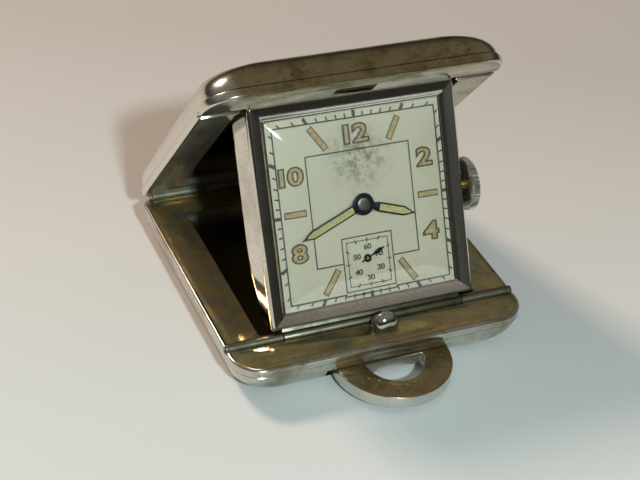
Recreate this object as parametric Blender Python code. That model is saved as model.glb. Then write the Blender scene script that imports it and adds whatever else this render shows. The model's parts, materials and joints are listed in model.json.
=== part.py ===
# Folding travel watch: a square watch hinged inside a two-shell case.
# The lower shell lies flat, the lid stands open behind, and the watch leans back on the lid.
# Frame: origin at the centre of the lower shell's flat underside, X to the right along the
# hinges, Y away from the reader, Z up.

import bpy
import bmesh
from math import acos, atan2, cos, pi, radians, sin, sqrt
from mathutils import Vector

for old in list(bpy.data.objects):
    bpy.data.objects.remove(old, do_unlink=True)

MM = 0.001

# Case halves
shell_side_margin = 5.5 * MM
shell_rear_margin = 4.7 * MM
lid_height = 5.7 * MM
front_corner_radius = 4.5 * MM
rear_corner_radius = 1.8 * MM
least_corner_radius = 0.3 * MM
rim_band_height = 1.3 * MM
rim_band_step = 0.35 * MM
step_slope = 0.15 * MM
rim_edge_round = 0.12 * MM
edge_round_width = 3.6 * MM
edge_round_height = 4.2 * MM
outer_front_corner_radius = 8.0 * MM
outer_rear_corner_radius = 3.0 * MM
wall = 0.6 * MM
rim_lip = 0.5 * MM
frame_thickness = 1.0 * MM

# Clearances
seat_gap = 0.05 * MM
running_gap = 0.08 * MM
bore_gap = 0.05 * MM
slide_gap = 0.1 * MM
swing_gap = 0.3 * MM
overrun = 1.0 * MM

# Main hinge, between the two shells
main_axis_setback = 0.15 * MM
main_barrel_radius = 1.0 * MM
main_pin_radius = 0.45 * MM
main_barrel_inset = 1.6 * MM
main_knuckle_count = 5

# Watch hinge, between the lower frame and the watch
watch_axis_from_front = 5.9 * MM
watch_barrel_radius = 0.7 * MM
watch_pin_radius = 0.3 * MM
outer_knuckle_length = 8.5 * MM
barrel_end_inset = 0.25 * MM
knuckle_joint_gap = 0.1 * MM
leaf_thickness = 0.5 * MM
leaf_height = 3.0 * MM
lid_prop_reach = 0.0417 * MM
lid_prop_drop_angle = radians(0.7105)

# Watch case, measured from the watch hinge: up the watch and out of its face
bezel_side_band = 2.42 * MM
bezel_top_band = 2.55 * MM
bezel_bottom_band = 2.0 * MM
bezel_bottom_rise = 1.35 * MM
bezel_front_rise = 1.23 * MM
bezel_thickness = 1.08 * MM
bezel_corner_radius = 0.35 * MM
bezel_flat_width = 0.75 * MM
bezel_edge_round = 0.18 * MM
bezel_slope_drop = 0.75 * MM
case_depth = 5.05 * MM
case_bulge = 0.7 * MM
case_back_round = 3.5 * MM
case_back_pull = 1.2 * MM
case_corner_radius = 0.6 * MM
case_back_wall = 0.57 * MM
cover_flange_depth = 0.25 * MM
cover_side_inset = 0.65 * MM
cover_end_inset = 1.85 * MM
cover_ledge = 0.8 * MM
cover_corner_radius = 1.6 * MM
cover_notch_radius = 0.6 * MM

# Dial, crystal and hands
dial_opening_width = 26.5 * MM
dial_opening_height = 26.7 * MM
dial_margin = 0.5 * MM
dial_thickness = 0.4 * MM
dial_depth = 1.15 * MM
crystal_wall = 0.45 * MM
crystal_top = 0.5 * MM
crystal_rise = 0.35 * MM
crystal_bevel = 0.4 * MM
hour_hand_length = 8.5 * MM
minute_hand_length = 10.4 * MM
seconds_hand_length = 2.95 * MM
hand_width = 1.25 * MM
seconds_hand_width = 0.3 * MM
hand_thickness = 0.12 * MM
hand_pivot_radius = 0.5 * MM
hand_hub_radius = 0.95 * MM
seconds_hub_radius = 0.6 * MM
centre_boss_radius = 1.6 * MM
centre_boss_height = 0.17 * MM
seconds_hand_height = 0.08 * MM
hour_hand_height = 0.34 * MM
hand_spacing = 0.1 * MM
hour_hand_angle = radians(-108)
minute_hand_angle = radians(111.2)
seconds_hand_angle = radians(-66.2)

# Form of a hand: its neck as a share of its width, its other shares of its length
hand_neck_share = 0.25
hand_neck_length_share = 0.08
hand_shoulder_share = 0.04
hand_tip_share = 0.86
seconds_tail_share = 0.35

# Crown and stem
crown_radius = 3.9 * MM
crown_thickness = 1.33 * MM
crown_stand = 2.11 * MM
crown_depth = 1.0 * MM
crown_teeth = 44
crown_tooth_depth = 0.18 * MM
crown_dome = 0.3 * MM
crown_flat_share = 0.55
stem_radius = 0.45 * MM
stem_reach_into_movement = 4.02 * MM
stem_tube_radius = 0.85 * MM
stem_tube_length = 2.2 * MM
crown_pull = 0.5 * MM

# Openings in the two frames
well_side_gap = 1.33 * MM
lower_well_front = 1.2 * MM
lower_well_end_gap = 0.35 * MM
lid_well_rear = 4.0 * MM
lid_well_chamfer = 1.3 * MM
lid_lip_edge = 0.05 * MM
knuckle_notch_reach = 0.85 * MM
catch_slot_height = 1.7 * MM

# Catch and its sliding bail
slide_travel = 1.4 * MM
bail_radius = 8.6 * MM
bail_thickness = 1.95 * MM
bail_centre_side = 0.9 * MM
bail_centre_from_front = 0.65 * MM
bail_rise = 0.85 * MM
bail_tongue = 2.2 * MM
bail_hole_half_width = 4.35 * MM
bail_hole_depth = 4.7 * MM
bail_hole_offset = 0.4 * MM
bail_edge_bevel = 0.2 * MM
hook_width = 3.8 * MM
hook_side = 0.6 * MM
hook_thickness = 1.4 * MM
hook_height = 2.7 * MM
hook_nose = 0.35 * MM
hook_neck = 0.35 * MM
hook_from_axis = 2.2 * MM
hook_plate_thickness = 0.5 * MM
hook_plate_width = 12.0 * MM
rivet_radius = 0.5 * MM
rivet_head_radius = 0.75 * MM
rivet_head_height = 0.3 * MM
rivet_spacing = 8.0 * MM
spring_radius = 0.55 * MM
spring_wire_radius = 0.1 * MM
spring_length = 5.5 * MM
spring_turns = 7
stop_width = 0.8 * MM
stop_depth = 2.0 * MM

# Movement
movement_margin = 1.45 * MM
main_plate_thickness = 0.8 * MM
bridge_thickness = 0.6 * MM
bridge_depth = 2.8 * MM
arbor_radius = 0.25 * MM
pinion_radius = 0.5 * MM
wheel_thickness = 0.22 * MM
tooth_depth = 0.22 * MM
barrel_height = 1.2 * MM
barrel_wall = 0.3 * MM
barrel_arbor_radius = 0.55 * MM
mainspring_width = 0.75 * MM
mainspring_thickness = 0.12 * MM
mainspring_coils = 5
hairspring_width = 0.14 * MM
hairspring_thickness = 0.06 * MM
hairspring_coils = 5
lever_length = 2.0 * MM
lever_width = 1.0 * MM
lever_thickness = 0.25 * MM
lever_pin_width = 0.35 * MM
stem_groove_radius = 0.22 * MM
stem_groove_width = 0.5 * MM
stem_groove_from_end = 2.3 * MM
balance_rim = 0.5 * MM
balance_arm = 0.5 * MM
balance_arm_thickness = 0.16 * MM
balance_arm_drop = 0.055 * MM
roller_radius = 0.6 * MM
screw_radius = 0.75 * MM
screw_head_height = 0.25 * MM
pillar_radius = 0.7 * MM
fork_width = 0.35 * MM

# Radii and spans in the movement, as shares of its radius
barrel_radius_share = 0.415
hairspring_radius_share = 0.195
centre_wheel_radius_share = 0.381
third_wheel_radius_share = 0.339
fourth_wheel_radius_share = 0.28
escape_wheel_radius_share = 0.195
balance_radius_share = 0.339
ratchet_radius_share = 0.305
crown_wheel_radius_share = 0.161
bridge_cut_radius_share = 0.644
cock_width_share = 0.186
seconds_offset_share = 0.661
fork_arm_share = 0.127

# Places of the movement's arbors, as shares of the movement's radius from the dial's centre
barrel_place_share = (0.153, 0.463)
third_place_share = (0.256, -0.357)
escape_place_share = (-0.297, -0.526)
fork_place_share = (-0.424, -0.331)
balance_place_share = (-0.585, -0.034)
crown_wheel_place_share = (0.585, 0.271)
cock_foot_place_share = (-0.517, 0.534)
bridge_cut_place_share = (-0.746, 0.119)
pillar_place_shares = ((0.82, 0.3), (0.73, -0.576), (-0.17, 0.9))

# Teeth and leaves of the train
barrel_teeth = 78
centre_teeth = 80
centre_leaves = 12
third_teeth = 75
third_leaves = 10
fourth_teeth = 80
fourth_leaves = 10
escape_teeth = 15
escape_leaves = 8
ratchet_teeth = 44
crown_wheel_teeth = 24

# Depths of the movement's wheels behind the main plate, as shares of the wheel space
centre_wheel_depth_share = 0.06
third_wheel_depth_share = 0.34
fourth_wheel_depth_share = 0.66
escape_wheel_depth_share = 0.3
balance_depth_share = 0.7
barrel_depth_share = 0.34

# Worked out from the sizes above
spring_space = 2 * (spring_radius + spring_wire_radius)
hook_tab_height = spring_space - slide_gap
bail_top = bail_rise + bail_thickness
lower_height = bail_top + seat_gap + hook_plate_thickness + spring_space + 2 * slide_gap + frame_thickness
bezel_width = dial_opening_width + 2 * bezel_side_band
bezel_height = dial_opening_height + bezel_bottom_band + bezel_top_band
bezel_top_rise = bezel_bottom_rise + bezel_height
dial_centre_rise = bezel_bottom_rise + bezel_bottom_band + dial_opening_height / 2
cover_flange_width = dial_opening_width - 2 * cover_side_inset
cover_flange_height = dial_opening_height - 2 * cover_end_inset
crown_face_reach = bezel_width / 2 + crown_stand
well_width = bezel_width + 2 * well_side_gap
lower_well_length = bezel_top_rise + lower_well_end_gap - lower_well_front
shell_width = well_width + 2 * shell_side_margin
shell_depth = watch_axis_from_front + bezel_top_rise + shell_rear_margin
movement_radius = min(dial_opening_width, dial_opening_height) / 2 - movement_margin
barrel_radius = movement_radius * barrel_radius_share
hairspring_radius = movement_radius * hairspring_radius_share
centre_wheel_radius = movement_radius * centre_wheel_radius_share
third_wheel_radius = movement_radius * third_wheel_radius_share
fourth_wheel_radius = movement_radius * fourth_wheel_radius_share
escape_wheel_radius = movement_radius * escape_wheel_radius_share
balance_radius = movement_radius * balance_radius_share
ratchet_radius = movement_radius * ratchet_radius_share
crown_wheel_radius = movement_radius * crown_wheel_radius_share
bridge_cut_radius = movement_radius * bridge_cut_radius_share
cock_width = movement_radius * cock_width_share
seconds_offset = movement_radius * seconds_offset_share
fork_arm = movement_radius * fork_arm_share
shell_front = -shell_depth / 2
shell_rear = shell_depth / 2
main_axis_y = shell_rear + main_axis_setback
watch_axis_y = shell_front + watch_axis_from_front
axis_spacing = main_axis_y - watch_axis_y

# The open lid and the leaning watch prop each other: a triangle on the line between their hinges
watch_prop_reach = sqrt(bezel_top_rise ** 2 + bezel_front_rise ** 2)
lid_prop_length = axis_spacing + lid_prop_reach
watch_prop_cosine = (axis_spacing ** 2 + watch_prop_reach ** 2 - lid_prop_length ** 2) / (
    2 * axis_spacing * watch_prop_reach)
lid_prop_cosine = (axis_spacing ** 2 + lid_prop_length ** 2 - watch_prop_reach ** 2) / (
    2 * axis_spacing * lid_prop_length)
watch_lean_angle = pi / 2 - acos(watch_prop_cosine) + atan2(bezel_front_rise, bezel_top_rise)
lid_open_angle = acos(lid_prop_cosine) - lid_prop_drop_angle
inner_wall_inset = rim_band_step + wall
main_groove_radius = main_barrel_radius + running_gap
watch_groove_radius = watch_barrel_radius + running_gap
bezel_base = bezel_front_rise - bezel_thickness
case_front = bezel_base - seat_gap
case_back = case_front - case_depth
catch_slot_left = hook_side - hook_width / 2 - slide_travel - slide_gap
catch_slot_right = hook_side + hook_width / 2 + slide_gap
dial_face = bezel_front_rise - dial_depth
dial_back = dial_face - dial_thickness
crown_centre_depth = -crown_depth
plate_front = dial_back - running_gap
plate_back = plate_front - main_plate_thickness
bridge_front = plate_back - bridge_depth + bridge_thickness
bridge_back = bridge_front - bridge_thickness
wheel_space = plate_back - bridge_front
stem_inner_end = movement_radius - stem_reach_into_movement
stem_length = crown_face_reach - crown_dome - 2 * seat_gap - stem_inner_end

corner_steps_front = 6
corner_steps_rear = 3
round_steps = 6
crease_angle = radians(35)


def finish(name, colour, metallic, roughness, alpha=1.0):
    """A plain surface finish: linear colour, metal share and roughness."""
    made = bpy.data.materials.get(name)
    if made:
        return made
    made = bpy.data.materials.new(name)
    made.use_nodes = True
    shader = made.node_tree.nodes["Principled BSDF"]
    shader.inputs["Base Color"].default_value = (*colour, 1.0)
    shader.inputs["Metallic"].default_value = metallic
    shader.inputs["Roughness"].default_value = roughness
    shader.inputs["Alpha"].default_value = alpha
    return made


NICKEL = ("nickel_shell", (0.62, 0.58, 0.52), 1.0, 0.25)
GILT = ("tarnished_gilt", (0.42, 0.31, 0.13), 1.0, 0.35)
STEEL = ("polished_steel", (0.66, 0.66, 0.65), 1.0, 0.18)
BRASS = ("movement_brass", (0.62, 0.48, 0.2), 1.0, 0.35)
BLUED = ("blued_steel", (0.03, 0.04, 0.08), 1.0, 0.3)
GLASS = ("crystal_glass", (0.9, 0.93, 0.93), 0.0, 0.05, 0.25)
SILVERED = ("silvered_dial", (0.68, 0.68, 0.6), 0.0, 0.5)
HAND = ("hand_lume", (0.3, 0.26, 0.1), 0.2, 0.5)


def axis_frame(name, location, angle_x, parent=None):
    """An empty on a joint's axis, turned about X; the pieces it carries are its children."""
    empty = bpy.data.objects.new(name, None)
    empty.location = location
    empty.rotation_euler = (angle_x, 0, 0)
    empty.parent = parent
    bpy.context.scene.collection.objects.link(empty)
    return empty


def solid(name, bm, surface, parent=None, location=(0, 0, 0), round_faces=True):
    """Turn a bmesh into a named object with its own finish."""
    bmesh.ops.recalc_face_normals(bm, faces=bm.faces)
    mesh = bpy.data.meshes.new(name)
    bm.to_mesh(mesh)
    bm.free()
    if round_faces:
        mesh.shade_smooth()
        mesh.set_sharp_from_angle(angle=crease_angle)
    mesh.materials.append(finish(*surface))
    piece = bpy.data.objects.new(name, mesh)
    piece.location = location
    piece.parent = parent
    bpy.context.scene.collection.objects.link(piece)
    return piece


def loft(rings, through=False, bm=None):
    """Skin rings of equal count; through=True joins the last ring to the first instead of capping."""
    bm = bm or bmesh.new()
    rows = [[bm.verts.new(point) for point in ring] for ring in rings]
    count = len(rows[0])
    pairs = list(zip(rows, rows[1:]))
    if through:
        pairs.append((rows[-1], rows[0]))
    for low, high in pairs:
        for i in range(count):
            j = (i + 1) % count
            bm.faces.new((low[i], low[j], high[j], high[i]))
    if not through:
        bm.faces.new(rows[0][::-1])
        bm.faces.new(rows[-1])
    return bm


def box(low, high, bm=None):
    """A block between two corners."""
    x0, y0, z0 = low
    x1, y1, z1 = high
    base = ((x0, y0), (x1, y0), (x1, y1), (x0, y1))
    return loft([[(x, y, z0) for x, y in base], [(x, y, z1) for x, y in base]], bm=bm)


def prism(outline, low, high, axis="z", bm=None):
    """An outline pushed from low to high along an axis."""
    def place(a, b, c):
        if axis == "z":
            return (a, b, c)
        if axis == "y":
            return (a, c, b)
        return (c, a, b)
    return loft([[place(a, b, c) for a, b in outline] for c in (low, high)], bm=bm)


def circle(radius, count, centre=(0, 0)):
    """Points of a circle."""
    turns = [2 * pi * i / count for i in range(count)]
    return [(centre[0] + radius * cos(t), centre[1] + radius * sin(t)) for t in turns]


def toothed(tip, depth, teeth, centre=(0, 0)):
    """Points of a pointed-tooth wheel, two for each tooth."""
    points = []
    for i in range(2 * teeth):
        reach = tip if i % 2 else tip - depth
        turn = pi * i / teeth
        points.append((centre[0] + reach * cos(turn), centre[1] + reach * sin(turn)))
    return points


def rod(radius, low, high, axis="z", centre=(0, 0), count=16, bm=None):
    """A round bar along an axis."""
    return prism(circle(radius, count, centre), low, high, axis, bm)


def tube(radius, bore, low, high, axis="x", centre=(0, 0), count=16, bm=None):
    """A round tube along an axis, open at both ends."""
    def ring(reach, along):
        points = circle(reach, count, centre)
        if axis == "x":
            return [(along, a, b) for a, b in points]
        return [(a, b, along) for a, b in points]
    rings = [ring(radius, low), ring(radius, high), ring(bore, high), ring(bore, low)]
    return loft(rings, through=True, bm=bm)


def rounded_rectangle(width, low, high, front_radius, rear_radius, front_steps, rear_steps):
    """Plan outline from y=low to y=high, with its own corner radius at the front and rear."""
    half = width / 2
    corners = (
        (half - rear_radius, high - rear_radius, rear_radius, 0, rear_steps),
        (rear_radius - half, high - rear_radius, rear_radius, 1, rear_steps),
        (front_radius - half, low + front_radius, front_radius, 2, front_steps),
        (half - front_radius, low + front_radius, front_radius, 3, front_steps),
    )
    points = []
    for x, y, radius, quarter, steps in corners:
        for i in range(steps + 1):
            turn = pi / 2 * (quarter + i / steps)
            points.append((x + radius * cos(turn), y + radius * sin(turn)))
    return points


def square(width, low, high, radius, steps=3):
    """Plan outline with four like corners."""
    return rounded_rectangle(width, low, high, radius, radius, steps, steps)


def combine(target, tool, operation):
    """Cut or join with a second object, which stays as a hidden guide."""
    tool.hide_render = True
    tool.display_type = "WIRE"
    step = target.modifiers.new(operation.lower(), "BOOLEAN")
    step.operation = operation
    step.object = tool
    step.solver = "EXACT"
    return target


def cut(target, bm, name, parent=None):
    """Remove a shape from a piece."""
    return combine(target, solid(target.name + "_" + name, bm, STEEL, parent), "DIFFERENCE")


def join(target, bm, name, parent=None):
    """Add a shape to a piece."""
    return combine(target, solid(target.name + "_" + name, bm, STEEL, parent), "UNION")


def bevel(piece, width, segments=1, angle=radians(50)):
    """Break the sharp edges of a piece."""
    step = piece.modifiers.new("edges", "BEVEL")
    step.width = width
    step.segments = segments
    step.limit_method = "ANGLE"
    step.angle_limit = angle
    return piece


def shell_ring(inset, depth, sign, middle, front, rear):
    """One level of a case half: inset from the rim's outline, depth from the rim plane."""
    outline = rounded_rectangle(
        shell_width - 2 * inset,
        middle + shell_front + inset,
        middle + shell_rear - inset,
        max(front, least_corner_radius),
        max(rear, least_corner_radius),
        corner_steps_front,
        corner_steps_rear,
    )
    return [(x, y, sign * depth) for x, y in outline]


def rim_ring(inset, depth, sign, middle):
    """A level that keeps its distance from the rim's outline, corners included."""
    front = front_corner_radius - inset
    rear = rear_corner_radius - inset
    return shell_ring(inset, depth, sign, middle, front, rear)


def dome_ring(turn, height, skin, sign, middle):
    """A level of the rounded edge: turn is 0 at the flat face and a right angle at the step."""
    inset = rim_band_step + edge_round_width - (edge_round_width - skin) * sin(turn)
    depth = height - edge_round_height + (edge_round_height - skin) * cos(turn)
    share = 1 - sin(turn)
    rim_front = front_corner_radius - rim_band_step
    rim_rear = rear_corner_radius - rim_band_step
    front = rim_front + share * (outer_front_corner_radius - rim_front) - skin
    rear = rim_rear + share * (outer_rear_corner_radius - rim_rear) - skin
    return shell_ring(inset, depth, sign, middle, front, rear)


def shell_rings(height, sign, middle):
    """Levels from the flat outer face round the rim to the inner floor."""
    turns = [pi / 2 * i / round_steps for i in range(round_steps + 1)]
    rings = [dome_ring(turn, height, 0, sign, middle) for turn in turns]
    levels = (
        (rim_band_step, rim_band_height + step_slope),
        (0, rim_band_height),
        (0, rim_edge_round),
        (rim_edge_round, 0),
        (rim_lip, 0),
        (rim_lip, frame_thickness),
        (inner_wall_inset, frame_thickness),
    )
    rings += [rim_ring(inset, depth, sign, middle) for inset, depth in levels]
    rings += [dome_ring(turn, height, wall, sign, middle) for turn in reversed(turns)]
    return rings


def case_half(name, height, sign, middle, parent):
    """A pressed case half: flat face, rounded edge, step line and rim band, with its walls."""
    return solid(name, loft(shell_rings(height, sign, middle)), NICKEL, parent)


def frame_outline(sign, middle):
    """Outline of the plate that closes the rim."""
    return [(x, y) for x, y, _ in rim_ring(rim_lip + seat_gap, 0, sign, middle)]


def cross_groove(radius, along_y, reach):
    """Cutter for a hinge barrel lying in the rim plane."""
    return rod(radius, -reach, reach, "x", (along_y, 0), 20)


def lower_half(frame):
    """Lower shell and its frame plate, modelled about the rim plane."""
    shell = case_half("lower_shell", lower_height, -1, 0, frame)
    reach = shell_width / 2 + overrun
    cut(shell, cross_groove(watch_groove_radius, watch_axis_y, reach), "barrel_notch", frame)
    groove_reach = shell_width / 2 - main_barrel_inset + seat_gap
    groove = cross_groove(main_groove_radius, main_axis_y, groove_reach)
    cut(shell, groove, "main_groove", frame)
    slot_low = bail_rise - slide_gap - lower_height
    slot = box(
        (bail_centre_side - bail_radius - slide_travel - slide_gap, shell_front - overrun, slot_low),
        (
            bail_centre_side + bail_radius + slide_gap,
            shell_front + bail_centre_from_front + bail_tongue + overrun,
            slot_low + bail_thickness + 2 * slide_gap,
        ),
    )
    cut(shell, slot, "bail_slot", frame)

    plate = solid(
        "lower_frame",
        prism(frame_outline(-1, 0), -(frame_thickness - seat_gap), 0),
        GILT,
        frame,
        round_faces=False,
    )
    well_front = watch_axis_y + lower_well_front
    depth = -frame_thickness - overrun
    outline = square(well_width, well_front, well_front + lower_well_length, least_corner_radius)
    cut(plate, prism(outline, depth, overrun), "well", frame)
    notch_low = watch_axis_y + dial_centre_rise - crown_radius - swing_gap
    notch_high = watch_axis_y + dial_centre_rise + crown_radius + swing_gap
    notch_reach = crown_face_reach + crown_pull + slide_gap
    crown_notch = box((0, notch_low, depth), (notch_reach, notch_high, overrun))
    cut(plate, crown_notch, "crown_notch", frame)
    knuckle_half = shell_width / 2 - outer_knuckle_length + slide_gap
    knuckle_notch = box(
        (-knuckle_half, watch_axis_y - knuckle_notch_reach, depth),
        (knuckle_half, well_front + overrun, overrun),
    )
    cut(plate, knuckle_notch, "knuckle_notch", frame)
    cut(plate, cross_groove(watch_groove_radius, watch_axis_y, reach), "barrel_groove", frame)
    cut(plate, cross_groove(main_groove_radius, main_axis_y, reach), "main_groove", frame)
    slot_centre = watch_axis_y - hook_from_axis
    catch_slot = box(
        (catch_slot_left, slot_centre - catch_slot_height / 2, depth),
        (catch_slot_right, slot_centre + catch_slot_height / 2, overrun),
    )
    cut(plate, catch_slot, "catch_slot", frame)


def lid_half(frame):
    """Lid shell and its frame plate, drawn as closed: front towards -Y, outer face up."""
    middle = -main_axis_setback - shell_rear
    shell = case_half("lid_shell", lid_height, 1, middle, frame)
    reach = shell_width / 2 + overrun
    barrel_y = -axis_spacing
    cut(shell, cross_groove(watch_groove_radius, barrel_y, reach), "barrel_notch", frame)
    groove_reach = shell_width / 2 - main_barrel_inset + seat_gap
    cut(shell, cross_groove(main_groove_radius, 0, groove_reach), "main_groove", frame)

    plate = solid(
        "lid_frame",
        prism(frame_outline(1, middle), 0, frame_thickness - seat_gap),
        GILT,
        frame,
        round_faces=False,
    )
    half = well_width / 2
    front = barrel_y + lid_lip_edge
    rear = -lid_well_rear
    chamfer = lid_well_chamfer
    outline = (
        (-half + chamfer, front),
        (half - chamfer, front),
        (half, front + chamfer),
        (half, rear),
        (-half, rear),
        (-half, front + chamfer),
    )
    depth = frame_thickness + overrun
    cut(plate, prism(outline, -overrun, depth), "well", frame)
    notch_middle = barrel_y + dial_centre_rise
    notch_half = crown_radius + swing_gap
    notch_reach = crown_face_reach + crown_pull + slide_gap
    notch_low = notch_middle - notch_half
    notch_high = notch_middle + notch_half
    crown_notch = box((0, notch_low, -overrun), (notch_reach, notch_high, depth))
    cut(plate, crown_notch, "crown_notch", frame)
    cut(plate, cross_groove(watch_groove_radius, barrel_y, reach), "barrel_groove", frame)
    cut(plate, cross_groove(main_groove_radius, 0, reach), "main_groove", frame)
    slot_centre = barrel_y - hook_from_axis
    catch_slot = box(
        (catch_slot_left, slot_centre - catch_slot_height / 2, -overrun),
        (catch_slot_right, slot_centre + catch_slot_height / 2, depth),
    )
    cut(plate, catch_slot, "catch_slot", frame)


def main_hinge(lower_frame, lid_frame):
    """Five knuckles on one pin: three on the lower shell, two on the lid."""
    half = shell_width / 2 - main_barrel_inset
    pitch = 2 * half / main_knuckle_count
    bore = main_pin_radius + bore_gap
    for i in range(main_knuckle_count):
        low = -half + i * pitch + knuckle_joint_gap / 2
        high = low + pitch - knuckle_joint_gap
        if i % 2:
            shape = tube(main_barrel_radius, bore, low, high)
            solid("main_knuckle_%d" % (i + 1), shape, NICKEL, lid_frame)
        else:
            shape = tube(main_barrel_radius, bore, low, high, centre=(main_axis_y, 0))
            solid("main_knuckle_%d" % (i + 1), shape, NICKEL, lower_frame)
    pin = rod(main_pin_radius, -half, half, "x", (main_axis_y, 0))
    solid("main_hinge_pin", pin, STEEL, lower_frame)


def watch_hinge(lower_frame, watch_frame):
    """Two knuckles in the lower frame, one long knuckle with its leaf on the watch, one pin."""
    end = shell_width / 2 - barrel_end_inset
    inner = shell_width / 2 - outer_knuckle_length
    bore = watch_pin_radius + bore_gap
    right = tube(watch_barrel_radius, bore, inner, end, centre=(watch_axis_y, 0))
    solid("watch_knuckle_right", right, NICKEL, lower_frame)
    left = tube(watch_barrel_radius, bore, -end, -inner, centre=(watch_axis_y, 0))
    solid("watch_knuckle_left", left, NICKEL, lower_frame)
    pin = rod(watch_pin_radius, -end, end, "x", (watch_axis_y, 0), 12)
    solid("watch_hinge_pin", pin, STEEL, lower_frame)
    middle = inner - knuckle_joint_gap
    barrel = tube(watch_barrel_radius, bore, -middle, middle)
    knuckle = solid("watch_knuckle_middle", barrel, NICKEL, watch_frame)
    wall_rise = bezel_bottom_rise - seat_gap
    arm_top = -(watch_pin_radius + bore_gap) / 2
    arm = box(
        (-middle, watch_barrel_radius * sqrt(3) / 2 - leaf_thickness / 4, arm_top - leaf_thickness),
        (middle, wall_rise, arm_top),
    )
    join(knuckle, arm, "arm", watch_frame)
    leaf = box(
        (-middle, wall_rise - leaf_thickness / 2, -leaf_height / 2),
        (middle, wall_rise, arm_top),
    )
    join(knuckle, leaf, "leaf", watch_frame)


def case_ring(level, turn, front_share):
    """One level of the watch case: bulging sides, and ends that round over to the back."""
    pull = 1 - cos(turn)
    width = bezel_width + 2 * case_bulge * sin(pi * front_share) - 2 * case_back_pull * pull
    low = bezel_bottom_rise + case_back_round * pull
    high = bezel_top_rise - case_back_round * pull
    return [(x, y, level) for x, y in square(width, low, high, case_corner_radius)]


def rectangle_ring(width, height, level, radius):
    """A level of an opening centred on the dial."""
    low = dial_centre_rise - height / 2
    return [(x, y, level) for x, y in square(width, low, low + height, radius)]


def watch_case(frame):
    """The middle of the watch: a through frame, rounded to the back, with the stem's hole."""
    straight = case_depth - case_back_round
    back_sweep = case_back_round - least_corner_radius / 4
    rings = []
    for share in (0, 1 / 3, 2 / 3):
        rings.append(case_ring(case_front - straight * share, 0, straight * share / case_depth))
    for i in range(round_steps + 1):
        turn = pi / 2 * i / round_steps
        level = case_front - straight - case_back_round * sin(turn)
        share = (case_front - level) / case_depth
        rings.append(case_ring(level, min(turn, pi / 2 * back_sweep / case_back_round), share))
    cavity_width = dial_opening_width + 2 * dial_margin + 2 * slide_gap
    cavity_height = dial_opening_height + 2 * dial_margin + 2 * slide_gap
    inner_width = cover_flange_width - 2 * cover_ledge
    inner_height = cover_flange_height - 2 * cover_ledge
    ledge_level = case_back + cover_flange_depth + seat_gap
    floor_level = case_back + case_back_wall
    radius = cover_corner_radius
    rings.append(rectangle_ring(cover_flange_width, cover_flange_height, case_back, radius))
    rings.append(rectangle_ring(cover_flange_width, cover_flange_height, ledge_level, radius))
    rings.append(rectangle_ring(inner_width, inner_height, ledge_level, radius))
    rings.append(rectangle_ring(inner_width, inner_height, floor_level, radius))
    rings.append(rectangle_ring(cavity_width, cavity_height, floor_level, least_corner_radius))
    rings.append(rectangle_ring(cavity_width, cavity_height, case_front, least_corner_radius))
    case = solid("watch_case", loft(rings, through=True), STEEL, frame)
    hole = rod(
        stem_tube_radius + seat_gap,
        cavity_width / 2 - overrun,
        bezel_width,
        "x",
        (dial_centre_rise, crown_centre_depth),
    )
    cut(case, hole, "stem_hole", frame)

    gap = seat_gap
    cover_rings = [
        rectangle_ring(cover_flange_width - 2 * gap, cover_flange_height - 2 * gap, level, radius)
        for level in (case_back, case_back + cover_flange_depth)
    ]
    cover_rings += [
        rectangle_ring(inner_width - 2 * gap, inner_height - 2 * gap, level, radius)
        for level in (case_back + cover_flange_depth, floor_level)
    ]
    cover = solid("back_cover", loft(cover_rings), STEEL, frame)
    notch_rise = dial_centre_rise - cover_flange_height / 2
    notch_floor = case_back + cover_flange_depth / 2
    notch = rod(cover_notch_radius, case_back - overrun, notch_floor, "z", (0, notch_rise), 12)
    cut(cover, notch, "lift_notch", frame)


def bezel(frame):
    """Mitred square bezel: flat band, then a slope down to the crystal."""
    slope_inset = (bezel_width - dial_opening_width) / 2
    slope_end = bezel_front_rise - bezel_slope_drop
    edge = bezel_edge_round
    side_insets = (
        (0, bezel_base),
        (0, bezel_front_rise - edge),
        (edge / 2, bezel_front_rise),
        (bezel_flat_width, bezel_front_rise),
        (slope_inset, slope_end),
        (slope_inset, bezel_base),
    )
    opening_low = dial_centre_rise - dial_opening_height / 2
    opening_high = dial_centre_rise + dial_opening_height / 2
    rings = []
    for inset, level in side_insets:
        share = inset / slope_inset
        low = bezel_bottom_rise + share * (opening_low - bezel_bottom_rise)
        top = bezel_top_rise
        high = top - share * (top - opening_high)
        radius = max(bezel_corner_radius * (1 - share), least_corner_radius / 3)
        rings.append([(x, y, level) for x, y in square(bezel_width - 2 * inset, low, high, radius, 2)])
    solid("bezel", loft(rings, through=True), STEEL, frame, round_faces=False)


def crystal(frame):
    """A square moulded crystal with bevelled edges, hollow over the hands."""
    width = dial_opening_width - 2 * seat_gap
    height = dial_opening_height - 2 * seat_gap
    top = bezel_front_rise + crystal_rise
    base = dial_face + seat_gap
    radius = least_corner_radius
    rings = [
        rectangle_ring(width - 2 * crystal_wall, height - 2 * crystal_wall, base, radius),
        rectangle_ring(width, height, base, radius),
        rectangle_ring(width, height, top - crystal_bevel, radius),
        rectangle_ring(width - 2 * crystal_bevel, height - 2 * crystal_bevel, top, radius),
    ]
    inner = [
        rectangle_ring(width - 2 * crystal_wall, height - 2 * crystal_wall, level, radius)
        for level in (base, top - crystal_top)
    ]
    solid("crystal", loft(rings[1:][::-1] + inner), GLASS, frame)


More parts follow.
